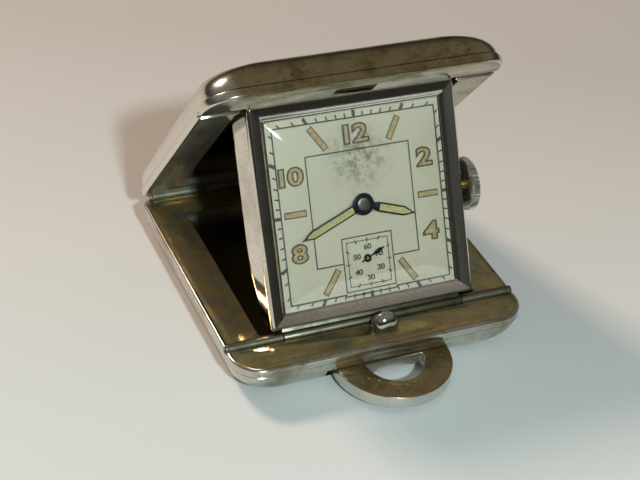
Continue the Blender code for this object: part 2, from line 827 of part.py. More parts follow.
def dial(frame):
    """Dial plate with its centre hole and the hole for the seconds arbor."""
    width = dial_opening_width + 2 * dial_margin
    height = dial_opening_height + 2 * dial_margin
    rings = [rectangle_ring(width, height, level, least_corner_radius) for level in (dial_back, dial_face)]
    plate = solid("dial", loft(rings), SILVERED, frame, round_faces=False)
    low = dial_back - overrun
    high = dial_face + overrun
    centre = (0, dial_centre_rise)
    seconds = (0, dial_centre_rise - seconds_offset)
    cut(plate, rod(hand_pivot_radius + slide_gap, low, high, "z", centre), "centre_hole", frame)
    cut(plate, rod(arbor_radius + slide_gap, low, high, "z", seconds), "seconds_hole", frame)


def hand_outline(length, width, hub, tail_share=0.0):
    """A pencil hand pointing up: round hub, parallel blade and a pointed tip."""
    blade = width / 2
    neck = width * hand_neck_share
    shoulder_low = hub + length * hand_neck_length_share
    shoulder_high = shoulder_low + length * hand_shoulder_share
    tip_start = length * hand_tip_share
    points = [(neck, shoulder_low), (blade, shoulder_high), (blade, tip_start), (0, length)]
    points += [(-blade, tip_start), (-blade, shoulder_high), (-neck, shoulder_low)]
    start = pi / 2 + sin(neck / hub)
    steps = 12
    for i in range(steps + 1):
        turn = start + (2 * pi - 2 * (start - pi / 2)) * i / steps
        reach = hub
        if tail_share and abs(turn - 3 * pi / 2) < pi / steps:
            reach = length * tail_share
        points.append((reach * cos(turn), reach * sin(turn)))
    return points


def turned_outline(outline, angle):
    """An outline turned about its origin, anticlockwise."""
    c, s = cos(angle), sin(angle)
    return [(x * c - y * s, x * s + y * c) for x, y in outline]


def share_place(share):
    """A place in the movement from its shares of the movement's radius."""
    return (share[0] * movement_radius, dial_centre_rise + share[1] * movement_radius, 0)


def hands(frame):
    """Hour hand on its pipe, and the hand levels that the crystal clears."""
    centre = (0, dial_centre_rise, 0)
    low = dial_face + hour_hand_height
    outline = turned_outline(hand_outline(hour_hand_length, hand_width, hand_hub_radius), hour_hand_angle)
    hour = solid("hour_hand", prism(outline, low, low + hand_thickness), HAND, frame, centre)
    pipe = tube(hand_pivot_radius, arbor_radius + bore_gap, dial_back, low + hand_thickness / 2, "z")
    combine(hour, solid("hour_hand_pipe", pipe, STEEL, frame, centre), "UNION")
    bore = rod(arbor_radius + bore_gap, dial_back - overrun, dial_face + overrun, "z", count=12)
    combine(hour, solid("hour_hand_bore", bore, STEEL, frame, centre), "DIFFERENCE")


def wheel(name, radius, teeth, place, level, top, bottom, frame, leaves, pinion_at, surface=BRASS):
    """A toothed wheel on its arbor, with its pinion."""
    rim = prism(toothed(radius, tooth_depth, teeth), level - wheel_thickness, level)
    piece = solid(name, rim, surface, frame, place)
    arbor = rod(arbor_radius, bottom, top, "z", count=10)
    combine(piece, solid(name + "_arbor", arbor, STEEL, frame, place), "UNION")
    outline = toothed(pinion_radius, pinion_radius / 4, leaves)
    pinion = prism(outline, pinion_at - wheel_thickness, pinion_at + wheel_thickness)
    combine(piece, solid(name + "_pinion", pinion, STEEL, frame, place), "UNION")
    return piece


def spiral(inner, outer, coils, thickness, low, high, steps=14):
    """A flat spring: a strip wound in an even spiral."""
    count = coils * steps
    inside = []
    outside = []
    for i in range(count + 1):
        turn = 2 * pi * i / steps
        reach = inner + (outer - inner) * i / count
        inside.append(((reach - thickness / 2) * cos(turn), (reach - thickness / 2) * sin(turn)))
        outside.append(((reach + thickness / 2) * cos(turn), (reach + thickness / 2) * sin(turn)))
    return prism(inside + outside[::-1], low, high)


def depth_level(share):
    """Height of a wheel's upper face in the space behind the main plate."""
    return plate_back - share * wheel_space


def mainspring_barrel(frame):
    """Toothed drum, open at the back, with the mainspring coiled in it."""
    place = share_place(barrel_place_share)
    level = depth_level(barrel_depth_share)
    floor = level - wheel_thickness
    low = level - barrel_height
    drum_radius = barrel_radius - 2 * tooth_depth
    bore = barrel_arbor_radius + running_gap
    rim = prism(toothed(barrel_radius, tooth_depth, barrel_teeth), floor, level)
    barrel = solid("mainspring_barrel", rim, BRASS, frame, place)
    drum = tube(drum_radius, drum_radius - barrel_wall, low, level - wheel_thickness / 2, "z", count=28)
    combine(barrel, solid("barrel_drum", drum, STEEL, frame, place), "UNION")
    hole = rod(bore, low - overrun, level + overrun, "z")
    combine(barrel, solid("barrel_bore", hole, STEEL, frame, place), "DIFFERENCE")
    outer = drum_radius - barrel_wall - mainspring_thickness
    inner = barrel_arbor_radius + running_gap + mainspring_thickness
    high = floor - seat_gap
    coil = spiral(inner, outer, mainspring_coils, mainspring_thickness, high - mainspring_width, high)
    solid("mainspring", coil, BLUED, frame, place)


def minute_work(frame, arbor_low, boss_top, minute_low):
    """Centre wheel through the dial, with the minute hand and its boss."""
    centre = (0, dial_centre_rise, 0)
    level = depth_level(centre_wheel_depth_share)
    pinion_at = depth_level(barrel_depth_share) - wheel_thickness
    wheel("centre_wheel", centre_wheel_radius, centre_teeth, centre, level, boss_top, arbor_low, frame,
          centre_leaves, pinion_at)
    outline = hand_outline(minute_hand_length, hand_width, hand_hub_radius)
    outline = turned_outline(outline, minute_hand_angle)
    minute = prism(outline, minute_low, minute_low + hand_thickness)
    minute = solid("minute_hand", minute, HAND, frame, centre)
    bore = rod(arbor_radius + bore_gap, minute_low - overrun, minute_low + overrun, "z", count=10)
    combine(minute, solid("minute_hand_bore", bore, STEEL, frame, centre), "DIFFERENCE")
    boss_low = minute_low + hand_thickness + seat_gap
    boss = tube(centre_boss_radius, arbor_radius + bore_gap, boss_low, boss_top, "z")
    solid("centre_boss", boss, BLUED, frame, centre)


def seconds_work(frame, arbor_low):
    """Fourth wheel through the dial, with the seconds hand."""
    seconds = (0, dial_centre_rise - seconds_offset, 0)
    low = dial_face + seconds_hand_height
    arbor_top = low + hand_thickness + seat_gap
    level = depth_level(fourth_wheel_depth_share)
    pinion_at = depth_level(third_wheel_depth_share) - wheel_thickness / 2
    wheel("fourth_wheel", fourth_wheel_radius, fourth_teeth, seconds, level, arbor_top,
          arbor_low, frame, fourth_leaves, pinion_at)
    outline = hand_outline(seconds_hand_length, seconds_hand_width, seconds_hub_radius, seconds_tail_share)
    outline = turned_outline(outline, seconds_hand_angle)
    second = solid("seconds_hand", prism(outline, low, low + hand_thickness), BLUED, frame, seconds)
    bore = rod(arbor_radius + bore_gap, low - overrun, low + overrun, "z", count=10)
    combine(second, solid("seconds_hand_bore", bore, STEEL, frame, seconds), "DIFFERENCE")


def going_train(frame):
    """Wheels from the barrel to the escapement, with the hands that two of them carry."""
    arbor_low = bridge_front + running_gap
    arbor_high = plate_back - running_gap
    minute_low = dial_face + hour_hand_height + hand_thickness + hand_spacing
    boss_top = minute_low + hand_thickness + seat_gap + centre_boss_height
    minute_work(frame, arbor_low, boss_top, minute_low)
    level = depth_level(third_wheel_depth_share)
    pinion_at = depth_level(centre_wheel_depth_share) - wheel_thickness / 2
    wheel("third_wheel", third_wheel_radius, third_teeth, share_place(third_place_share), level,
          arbor_high, arbor_low, frame, third_leaves, pinion_at)
    seconds_work(frame, arbor_low)
    level = depth_level(escape_wheel_depth_share)
    pinion_at = depth_level(fourth_wheel_depth_share) - wheel_thickness / 2
    wheel("escape_wheel", escape_wheel_radius, escape_teeth, share_place(escape_place_share), level,
          arbor_high, arbor_low, frame, escape_leaves, pinion_at, STEEL)


def escapement(frame):
    """Pallet fork and balance, each on its own arbor."""
    fork_place = share_place(fork_place_share)
    balance_place = share_place(balance_place_share)
    escape_place = share_place(escape_place_share)
    level = depth_level(escape_wheel_depth_share)
    to_wheel = (Vector(escape_place) - Vector(fork_place)).normalized()
    to_balance = (Vector(balance_place) - Vector(fork_place)).normalized()
    side = Vector((-to_wheel.y, to_wheel.x, 0))
    half = fork_width / 2
    reach = (Vector(balance_place) - Vector(fork_place)).length - 2 * roller_radius

    def strip(start, end, width):
        along = (end - start).normalized()
        across = Vector((-along.y, along.x, 0)) * width
        return [tuple(point.xy) for point in (start - across, end - across, end + across, start + across)]

    origin = Vector((0, 0, 0))
    arms = strip(side * -fork_arm, side * fork_arm, half)
    lever = strip(origin, to_balance * reach, half)
    fork = solid("pallet_fork", prism(arms, level - wheel_thickness, level), STEEL, frame, fork_place)
    lever = solid("pallet_lever", prism(lever, level - wheel_thickness, level), STEEL, frame, fork_place)
    combine(fork, lever, "UNION")
    arbor = rod(arbor_radius, level - 3 * wheel_thickness, plate_back - running_gap, "z", count=10)
    combine(fork, solid("pallet_arbor", arbor, STEEL, frame, fork_place), "UNION")

    top = depth_level(balance_depth_share)
    ring = tube(balance_radius, balance_radius - balance_rim, top - 2 * wheel_thickness, top, "z", count=28)
    balance = solid("balance_wheel", ring, BRASS, frame, balance_place)
    inner = balance_radius - balance_rim / 2
    arm_half = balance_arm / 2
    arm_high = top - balance_arm_drop
    bar = box((-inner, -arm_half, arm_high - balance_arm_thickness), (inner, arm_half, arm_high))
    combine(balance, solid("balance_arm", bar, STEEL, frame, balance_place), "UNION")
    staff = rod(arbor_radius, bridge_front + running_gap, plate_back - running_gap, "z", count=10)
    combine(balance, solid("balance_staff", staff, STEEL, frame, balance_place), "UNION")
    roller = rod(roller_radius, level - wheel_thickness, level, "z", count=16)
    combine(balance, solid("balance_roller", roller, STEEL, frame, balance_place), "UNION")
    spring_low = (arm_high + level - wheel_thickness - hairspring_width) / 2
    coil = spiral(
        arbor_radius + running_gap, hairspring_radius, hairspring_coils, hairspring_thickness,
        spring_low, spring_low + hairspring_width,
    )
    solid("hairspring", coil, BLUED, frame, balance_place)


def movement_plates(frame):
    """Main plate, holding ring, train bridge on pillars, balance cock and pallet cock."""
    centre = (0, dial_centre_rise)
    hole_low = plate_back - overrun
    hole_high = plate_front + overrun
    plate = solid("main_plate", rod(movement_radius, plate_back, plate_front, "z", centre, 48), BRASS, frame)
    channel_start = stem_inner_end - stem_radius
    channel = rod(
        stem_radius + slide_gap, channel_start, movement_radius + overrun, "x",
        (dial_centre_rise, crown_centre_depth), 12,
    )
    cut(plate, channel, "stem_channel", frame)
    cut(plate, rod(hand_pivot_radius + slide_gap, hole_low, hole_high, "z", centre), "centre_hole", frame)
    seconds = (0, dial_centre_rise - seconds_offset)
    cut(plate, rod(arbor_radius + slide_gap, hole_low, hole_high, "z", seconds, 12), "seconds_hole", frame)

    width = dial_opening_width + 2 * dial_margin
    height = dial_opening_height + 2 * dial_margin
    levels = (plate_back, plate_front)
    ring_outline = [rectangle_ring(width, height, level, least_corner_radius) for level in levels]
    ring = solid("movement_ring", loft(ring_outline), BRASS, frame)
    cut(ring, rod(movement_radius + seat_gap, hole_low, hole_high, "z", centre, 48), "seat", frame)
    channel = rod(
        stem_tube_radius + seat_gap, movement_radius - overrun, bezel_width, "x",
        (dial_centre_rise, crown_centre_depth), 16,
    )
    cut(ring, channel, "stem_channel", frame)

    disc = rod(movement_radius, bridge_back, bridge_front, "z", centre, 48)
    bridge = solid("train_bridge", disc, BRASS, frame)
    cut_place = share_place(bridge_cut_place_share)[:2]
    opening = rod(bridge_cut_radius, bridge_back - overrun, bridge_front + overrun, "z", cut_place, 32)
    cut(bridge, opening, "balance_side", frame)
    bore = barrel_arbor_radius + running_gap
    barrel_place = share_place(barrel_place_share)[:2]
    arbor_hole = rod(bore, bridge_back - overrun, bridge_front + overrun, "z", barrel_place)
    cut(bridge, arbor_hole, "arbor_hole", frame)
    pillar_low = bridge_front - bridge_thickness / 2
    screw_high = bridge_back - seat_gap
    screw_low = screw_high - screw_head_height
    for i, share in enumerate(pillar_place_shares):
        place = share_place(share)[:2]
        pillar = rod(pillar_radius, pillar_low, plate_back - seat_gap, "z", place, 12)
        join(bridge, pillar, "pillar_%d" % (i + 1), frame)
        screw = rod(screw_radius, screw_low, screw_high, "z", place, 12)
        solid("bridge_screw_%d" % (i + 1), screw, BLUED, frame)

    foot = Vector(share_place(cock_foot_place_share))
    pivot = Vector(share_place(balance_place_share))
    along = (foot - pivot).normalized()
    across = Vector((-along.y, along.x, 0)) * (cock_width / 2)
    start = pivot - along * (cock_width / 2)
    end = foot + along * (cock_width / 2)
    outline = [tuple(point.xy) for point in (start - across, end - across, end + across, start + across)]
    cock = solid("balance_cock", prism(outline, bridge_back, bridge_front), BRASS, frame)
    heel = foot - along * (cock_width / 4)
    base = [tuple(point.xy) for point in (heel - across, end - across, end + across, heel + across)]
    join(cock, prism(base, bridge_front - bridge_thickness / 2, plate_back - seat_gap), "foot", frame)


def winding_work(frame):
    """Ratchet wheel with the barrel's arbor, crown wheel beside it, and the stem's setting lever."""
    top = bridge_back - seat_gap
    place = share_place(barrel_place_share)
    outline = toothed(ratchet_radius, tooth_depth, ratchet_teeth)
    ratchet = solid("ratchet_wheel", prism(outline, top - wheel_thickness, top), STEEL, frame, place)
    arbor = rod(barrel_arbor_radius, top - wheel_thickness / 2, plate_back - running_gap, "z")
    combine(ratchet, solid("ratchet_arbor", arbor, STEEL, frame, place), "UNION")
    outline = toothed(crown_wheel_radius, tooth_depth, crown_wheel_teeth)
    place = share_place(crown_wheel_place_share)
    solid("crown_wheel", prism(outline, top - wheel_thickness, top), STEEL, frame, place)

    groove_x = stem_inner_end + stem_groove_from_end
    high = crown_centre_depth - stem_radius - seat_gap
    lever = box(
        (groove_x - lever_width / 2, dial_centre_rise - lever_length / 2, high - lever_thickness),
        (groove_x + lever_width / 2, dial_centre_rise + lever_length / 2, high),
    )
    lever = solid("setting_lever", lever, STEEL, frame)
    half = lever_pin_width / 2
    pin_top = crown_centre_depth - stem_groove_radius - seat_gap
    pin = box(
        (groove_x - half, dial_centre_rise - half, high - lever_thickness / 2),
        (groove_x + half, dial_centre_rise + half, pin_top),
    )
    join(lever, pin, "pin", frame)


def crown(frame):
    """Knurled crown with a domed face, on its stem, and the tube that guides it."""
    axis_place = (0, dial_centre_rise, crown_centre_depth)
    low = crown_face_reach - crown_thickness
    levels = (
        (low, crown_radius - crown_dome, 0),
        (low + crown_dome / 2, crown_radius, crown_tooth_depth),
        (crown_face_reach - crown_dome, crown_radius, crown_tooth_depth),
        (crown_face_reach - crown_dome / 2, crown_radius - crown_dome, 0),
        (crown_face_reach, crown_radius * crown_flat_share, 0),
    )
    rings = []
    for along, radius, tooth in levels:
        rings.append([(along, a, b) for a, b in toothed(radius, tooth, crown_teeth)])
    piece = solid("crown", loft(rings), STEEL, frame, axis_place)
    socket_end = crown_face_reach - crown_dome - seat_gap
    socket = rod(stem_radius + seat_gap, low - overrun, socket_end, "x", count=16)
    combine(piece, solid("crown_socket", socket, STEEL, frame, axis_place), "DIFFERENCE")
    groove_low = stem_inner_end + stem_groove_from_end - stem_groove_width / 2
    groove_high = groove_low + stem_groove_width
    turned = (
        (stem_inner_end, stem_radius),
        (groove_low, stem_radius),
        (groove_low, stem_groove_radius),
        (groove_high, stem_groove_radius),
        (groove_high, stem_radius),
        (stem_inner_end + stem_length, stem_radius),
    )
    rings = [[(along, a, b) for a, b in circle(radius, 16)] for along, radius in turned]
    solid("stem", loft(rings), STEEL, frame, axis_place)
    tube_end = crown_face_reach - crown_thickness - seat_gap
    guide = tube(stem_tube_radius, stem_radius + bore_gap, tube_end - stem_tube_length, tube_end)
    solid("stem_tube", guide, BRASS, frame, axis_place)


def bail_outline(centre_y):
    """Outer outline of the D-shaped bail and its tongue."""
    points = []
    steps = 24
    for i in range(steps + 1):
        turn = pi + pi * i / steps
        points.append((bail_centre_side + bail_radius * cos(turn), centre_y + bail_radius * sin(turn)))
    tongue_end = centre_y + bail_tongue
    points.append((bail_centre_side + bail_radius, tongue_end))
    points.append((bail_centre_side - bail_radius, tongue_end))
    return points


def bail(frame):
    """The D-shaped bail that slides sideways, with its finger hole."""
    centre_y = shell_front + bail_centre_from_front
    low = bail_rise
    piece = solid("bail", prism(bail_outline(centre_y), low, low + bail_thickness), STEEL, frame)
    top_y = centre_y - bail_hole_offset
    hole = []
    steps = 16
    for i in range(steps + 1):
        turn = pi + pi * i / steps
        reach_x = bail_centre_side + bail_hole_half_width * cos(turn)
        hole.append((reach_x, top_y + bail_hole_depth * sin(turn)))
    cut(piece, prism(hole, low - overrun, low + bail_thickness + overrun), "hole", frame)
    bevel(piece, bail_edge_bevel)


def catch(frame):
    """Spring catch: a plate riveted to the bail's tongue, with the hook through the front lip."""
    plate_low = bail_rise + bail_thickness + seat_gap
    plate_high = plate_low + hook_plate_thickness
    hook_y = watch_axis_y - hook_from_axis
    front = shell_front + inner_wall_inset + swing_gap
    rear = hook_y + hook_thickness / 2
    plate = box(
        (hook_side - hook_plate_width / 2, front, plate_low),
        (hook_side + hook_plate_width / 2, rear, plate_high),
    )
    piece = solid("catch_hook", plate, STEEL, frame)
    left = hook_side - hook_width / 2
    right = hook_side + hook_width / 2
    neck_low = lower_height - hook_neck
    nose_low = lower_height + frame_thickness + slide_gap
    top = lower_height + hook_height
    arch = []
    steps = 8
    for i in range(steps + 1):
        turn = pi * i / steps
        arch.append((hook_side + hook_nose / 2 + (hook_width + hook_nose) / 2 * cos(turn),
                     nose_low + (top - nose_low) * sin(turn)))
    outline = [(left, plate_low + hook_plate_thickness / 2), (right, plate_low + hook_plate_thickness / 2)]
    outline += [(right, neck_low), (right - hook_neck, neck_low + hook_neck), (right - hook_neck, nose_low)]
    outline += arch
    riser = prism(outline, hook_y - hook_thickness / 2, hook_y + hook_thickness / 2, "y")
    join(piece, riser, "riser", frame)
    tab_left = hook_side - hook_plate_width / 2
    tab = box(
        (tab_left, front, plate_low + hook_plate_thickness / 2),
        (tab_left + hook_plate_thickness, rear, plate_high + hook_tab_height),
    )
    join(piece, tab, "tab", frame)
    rivet_y = shell_front + bail_centre_from_front + bail_tongue - rivet_head_radius
    head_low = plate_high + seat_gap
    for side, word in ((-1, "left"), (1, "right")):
        place = (bail_centre_side + side * rivet_spacing / 2, rivet_y)
        shank = rod(rivet_radius + seat_gap, bail_rise - overrun, plate_high + overrun, "z", place, 12)
        cut(piece, shank, word + "_rivet_hole", frame)
        head = rod(rivet_head_radius, head_low, head_low + rivet_head_height, "z", place, 12)
        solid("catch_rivet_" + word, head, BRASS, frame)


def catch_spring(frame):
    """Coil spring that pushes the catch to the right, and the stop it bears on."""
    tab_left = hook_side - hook_plate_width / 2
    stop_right = tab_left - slide_gap - spring_length - slide_gap
    middle_y = shell_front + bail_centre_from_front + bail_tongue + spring_radius + spring_wire_radius
    plate_high = bail_rise + bail_thickness + seat_gap + hook_plate_thickness
    middle_z = plate_high + spring_radius + spring_wire_radius + slide_gap
    curve = bpy.data.curves.new("catch_spring", "CURVE")
    curve.dimensions = "3D"
    curve.bevel_depth = spring_wire_radius
    curve.bevel_resolution = 0
    curve.use_fill_caps = True
    line = curve.splines.new("POLY")
    per_turn = 9
    count = spring_turns * per_turn + 1
    line.points.add(count - 1)
    start = stop_right + slide_gap + spring_wire_radius
    span = spring_length - 2 * spring_wire_radius
    for i in range(count):
        turn = 2 * pi * i / per_turn
        along = start + span * i / (count - 1)
        across = middle_y + spring_radius * cos(turn)
        up = middle_z + spring_radius * sin(turn)
        line.points[i].co = (along, across, up, 1)
    curve.materials.append(finish(*STEEL))
    piece = bpy.data.objects.new("catch_spring", curve)
    piece.parent = frame
    bpy.context.scene.collection.objects.link(piece)
    stop = box(
        (stop_right - stop_width, middle_y - stop_depth / 2, bail_rise + bail_thickness + slide_gap),
        (stop_right, middle_y + stop_depth / 2, lower_height - frame_thickness - seat_gap),
    )
    solid("spring_stop", stop, BRASS, frame)


ground = axis_frame("case_base", (0, 0, 0), 0)
lower_rim = axis_frame("lower_rim", (0, 0, lower_height), 0)
lid_axis = axis_frame("lid_axis", (0, main_axis_y, lower_height), -lid_open_angle)
watch_axis = axis_frame("watch_axis", (0, watch_axis_y, lower_height), pi / 2 - watch_lean_angle)

lower_half(lower_rim)
lid_half(lid_axis)
main_hinge(lower_rim, lid_axis)
watch_hinge(lower_rim, watch_axis)
watch_case(watch_axis)
bezel(watch_axis)
crystal(watch_axis)
dial(watch_axis)
hands(watch_axis)
mainspring_barrel(watch_axis)
going_train(watch_axis)
escapement(watch_axis)
movement_plates(watch_axis)
winding_work(watch_axis)
crown(watch_axis)
bail(ground)
catch(ground)
catch_spring(ground)
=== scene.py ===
import json
from math import cos, pi, radians, sin
import bmesh
import bpy
from mathutils import Matrix, Vector


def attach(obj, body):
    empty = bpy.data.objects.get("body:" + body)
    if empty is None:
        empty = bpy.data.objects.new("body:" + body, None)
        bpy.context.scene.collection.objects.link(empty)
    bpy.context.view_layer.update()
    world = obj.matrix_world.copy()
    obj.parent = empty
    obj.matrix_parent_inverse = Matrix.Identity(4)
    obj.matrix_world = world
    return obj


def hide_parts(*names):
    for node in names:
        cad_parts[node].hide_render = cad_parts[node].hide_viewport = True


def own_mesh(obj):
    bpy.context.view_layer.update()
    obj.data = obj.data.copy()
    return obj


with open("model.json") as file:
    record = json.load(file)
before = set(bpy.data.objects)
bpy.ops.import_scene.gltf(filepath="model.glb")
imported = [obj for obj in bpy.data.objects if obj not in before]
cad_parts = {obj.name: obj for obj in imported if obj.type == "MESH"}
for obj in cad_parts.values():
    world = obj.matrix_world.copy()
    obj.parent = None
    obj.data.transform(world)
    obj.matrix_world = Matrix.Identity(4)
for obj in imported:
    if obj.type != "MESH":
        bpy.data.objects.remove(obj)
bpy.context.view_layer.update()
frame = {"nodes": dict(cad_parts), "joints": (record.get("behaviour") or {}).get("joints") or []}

# A folding travel watch: two pressed nickel shells, a square watch hinged between them, a sliding bail.
# Shapes are drawn in millimetres in the space of the hinge that carries them, then placed in metres.
MM = 0.001
joints = {joint["name"]: joint for joint in frame["joints"]}


def hinge_space(name, turn):
    """Millimetre space of a hinge, turned about the hinge's own line."""
    spot = Matrix.Translation(joints[name]["pos_m"])
    return spot @ Matrix.Rotation(radians(turn), 4, "X") @ Matrix.Scale(MM, 4)


# The spaces of the table, the standing watch, the open lid and the lower shell's rim
TABLE = Matrix.Scale(MM, 4)
WATCH = hinge_space("watch_hinge", joints["watch_hinge"]["range_deg"][1])
LID = hinge_space("lid_hinge", joints["lid_hinge"]["range_deg"][1] - 180)
rim_height = joints["watch_hinge"]["pos_m"][2] / MM
watch_axis = joints["watch_hinge"]["pos_m"][1] / MM
lid_axis = joints["lid_hinge"]["pos_m"][1] / MM
RIM = Matrix.Translation((0, 0, rim_height * MM)) @ TABLE

# Sizes of the case halves, in millimetres like all that follow
shell_width = 45.0
shell_depth = 43.2
lid_height = 5.7
lid_gap = 0.15
front_corner = 4.5
rear_corner = 1.8
outer_front_corner = 8.0
outer_rear_corner = 3.0
least_corner = 0.3
round_width = 3.6
round_height = 4.2
band_height = 1.3
band_step = 0.35
step_groove = 0.2
rim_round = 0.3
wall = 0.6
rim_lip = 0.5
lining_thickness = 1.0
lining_edge = 0.07
well_width = 34.0
well_length = 31.75
well_front = 1.2
well_corner = 0.6
# Room between pieces, and how far a cutter runs past what it cuts
seat = 0.05
running = 0.08
swing = 0.3
past = 1.0
# Sizes of the hinges
main_barrel = 1.0
main_pin = 0.45
main_inset = 1.6
main_knuckles = 5
knuckle_gap = 0.1
watch_barrel = 0.7
watch_pin = 0.3
watch_inset = 0.25
outer_knuckle = 8.5
# Sizes of the watch head; its levels are measured out of the face, from the hinge's line
bezel_width = 31.34
bezel_low = 1.35
bezel_high = 32.6
bezel_base = 0.15
bezel_front = 1.23
opening_width = 26.5
opening_height = 26.7
dial_rise = 16.7
dial_face = 0.08
case_front = 0.1
case_depth = 5.05
case_back = case_front - case_depth
crown_radius = 3.9
crown_reach = 17.78
crown_depth = -1.0
seconds_drop = 7.8
hand_thickness = 0.12
# Sizes of the catch and the bail. The hook stands its setback in front of the watch hinge, and the round of
# the bail is centred its setback behind the case's front edge.
hook_side = 0.6
hook_setback = 2.2
catch_slot_half = 0.85
catch_slot_left = 3.4
catch_slot_right = 2.0
catch_plate_half = 6.0
catch_plate_thickness = 0.5
bail_side = 0.9
bail_radius = 8.6
bail_rise = 0.85
bail_thickness = 1.95
bail_setback = 0.65
bail_tongue = 2.2


# Mesh making

def skin(rings, closed=False, shape=None):
    """Faces between rings of equal count. The ends are capped, unless closed joins the last to the first."""
    shape = shape or bmesh.new()
    rows = [[shape.verts.new(point) for point in ring] for ring in rings]
    pairs = list(zip(rows, rows[1:]))
    if closed:
        pairs.append((rows[-1], rows[0]))
    for low, high in pairs:
        for i, corner in enumerate(low):
            j = (i + 1) % len(low)
            shape.faces.new((corner, low[j], high[j], high[i]))
    if not closed:
        shape.faces.new(rows[0][::-1])
        shape.faces.new(rows[-1])
    return shape


def pushed(outline, low, high, axis="z", shape=None):
    """An outline pushed from low to high, along z or along y."""
    rings = []
    for level in (low, high):
        rings.append([(a, level, b) if axis == "y" else (a, b, level) for a, b in outline])
    return skin(rings, shape=shape)


def block(low, high, shape=None):
    """A block between two corners."""
    outline = ((low[0], low[1]), (high[0], low[1]), (high[0], high[1]), (low[0], high[1]))
    return pushed(outline, low[2], high[2], shape=shape)


def circle(radius, count, centre=(0, 0)):
    """Points of a circle."""
    turns = [2 * pi * i / count for i in range(count)]
    return [(centre[0] + radius * cos(t), centre[1] + radius * sin(t)) for t in turns]


def turned(profile, centre=(0, 0), axis="x", count=48, closed=False):
    """A turned piece: profile gives the place along the axis and the radius there."""
    rings = []
    for along, radius in profile:
        points = circle(radius, count, centre)
        rings.append([(along, a, b) if axis == "x" else (a, b, along) for a, b in points])
    return skin(rings, closed)


def mirrored(right):
    """A closed outline from its right half."""
    return list(right) + [(-x, y) for x, y in reversed(right)]


def plan(width, low, high, front, rear, steps=14):
    """A rectangle seen from above, with its own corner radius at the front and at the rear."""
    half = width / 2
    corners = (
        (half - rear, high - rear, rear, 0),
        (rear - half, high - rear, rear, 1),
        (front - half, low + front, front, 2),
        (half - front, low + front, front, 3),
    )
    points = []
    for x, y, radius, quarter in corners:
        for i in range(steps + 1):
            turn = pi / 2 * (quarter + i / steps)
            points.append((x + radius * cos(turn), y + radius * sin(turn)))
    return points


def level_ring(width, height, level, radius, steps):
    """A rectangle round the dial's centre, at one level out of the watch's face."""
    outline = plan(width, dial_rise - height / 2, dial_rise + height / 2, radius, radius, steps)
    return [(x, y, level) for x, y in outline]


def make(name, shape, finish):
    """A shape as an object with its finish, still in the millimetres of its own space."""
    bmesh.ops.recalc_face_normals(shape, faces=shape.faces)
    mesh = bpy.data.meshes.new(name)
    shape.to_mesh(mesh)
    shape.free()
    mesh.materials.append(finish)
    piece = bpy.data.objects.new(name, mesh)
    bpy.context.scene.collection.objects.link(piece)
    return piece


def settle(piece):
    """Turn the piece's modifiers into plain mesh."""
    graph = bpy.context.evaluated_depsgraph_get()
    worked = bpy.data.meshes.new_from_object(piece.evaluated_get(graph), depsgraph=graph)
    piece.modifiers.clear()
    rough = piece.data
    piece.data = worked
    bpy.data.meshes.remove(rough)
    worked.name = piece.name
    return piece


def carve(piece, *cutters):
    """Cut shapes out of a piece."""
    tools = []
    for cutter in cutters:
        tool = make(piece.name + "_cutter", cutter, piece.data.materials[0])
        tools.append(tool)
        step = piece.modifiers.new("cut", "BOOLEAN")
        step.operation = "DIFFERENCE"
        step.solver = "EXACT"
        step.object = tool
    settle(piece)
    for tool in tools:
        bpy.data.objects.remove(tool, do_unlink=True)
    return piece


def soften(piece, width, segments=2, angle=35):
    """Round the sharp edges, as polishing leaves them."""
    step = piece.modifiers.new("edges", "BEVEL")
    step.width = width
    step.segments = segments
    step.limit_method = "ANGLE"
    step.angle_limit = radians(angle)
    return settle(piece)


def place(piece, space, crease):
    """Bake the piece's space into its mesh, in metres, and smooth edges flatter than crease, in degrees."""
    piece.data.transform(space)
    piece.data.shade_smooth()
    piece.data.set_sharp_from_angle(angle=radians(crease))


def mount(piece, space, body, slot, *nodes, crease=38):
    """Place a piece: it moves with its body and stands for CAD nodes, which it hides. slot is not used."""
    place(piece, space, crease)
    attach(piece, body)
    if nodes:
        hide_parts(*nodes)


def refined(node, name, finish, width, segments=2):
    """A cleaned copy of a CAD node with softened edges, in millimetres."""
    shape = bmesh.new()
    shape.from_mesh(frame["nodes"][node].data)
    bmesh.ops.scale(shape, vec=(1 / MM, 1 / MM, 1 / MM), verts=shape.verts)
    bmesh.ops.remove_doubles(shape, verts=shape.verts, dist=0.0005)
    bmesh.ops.dissolve_limit(shape, angle_limit=radians(1.5), verts=shape.verts, edges=shape.edges)
    return soften(make(name, shape, finish), width, segments)


# Finishes

def colour(code):
    """A six-digit sRGB colour as linear values."""
    parts = [int(code[i:i + 2], 16) / 255 for i in (1, 3, 5)]
    linear = [c / 12.92 if c <= 0.04045 else ((c + 0.055) / 1.055) ** 2.4 for c in parts]
    return (*linear, 1.0)


def grey(value):
    """A plain grey for a ramp's stop."""
    return (value, value, value, 1.0)


def per(size):
    """Scale of a pattern whose features are this many millimetres across."""
    return 1 / (size * MM)


def feed(tree, node, sockets):
    """Fill a node's sockets: each takes a value, a node's output, or a node for its first output."""
    for name, value in sockets.items():
        if isinstance(value, bpy.types.Node):
            value = value.outputs[0]
        if isinstance(value, bpy.types.NodeSocket):
            tree.links.new(value, node.inputs[name])
        else:
            node.inputs[name].default_value = value
    return node


def add(tree, kind, sockets=(), stops=(), **settings):
    """A node with its settings, its ramp's stops and its sockets filled."""
    node = tree.nodes.new(kind)
    for name, value in settings.items():
        setattr(node, name, value)
    for i, (position, shade) in enumerate(stops):
        ramp = node.color_ramp.elements
        stop = ramp[i] if i < 2 else ramp.new(position)
        stop.position = position
        stop.color = shade
    return feed(tree, node, dict(sockets))


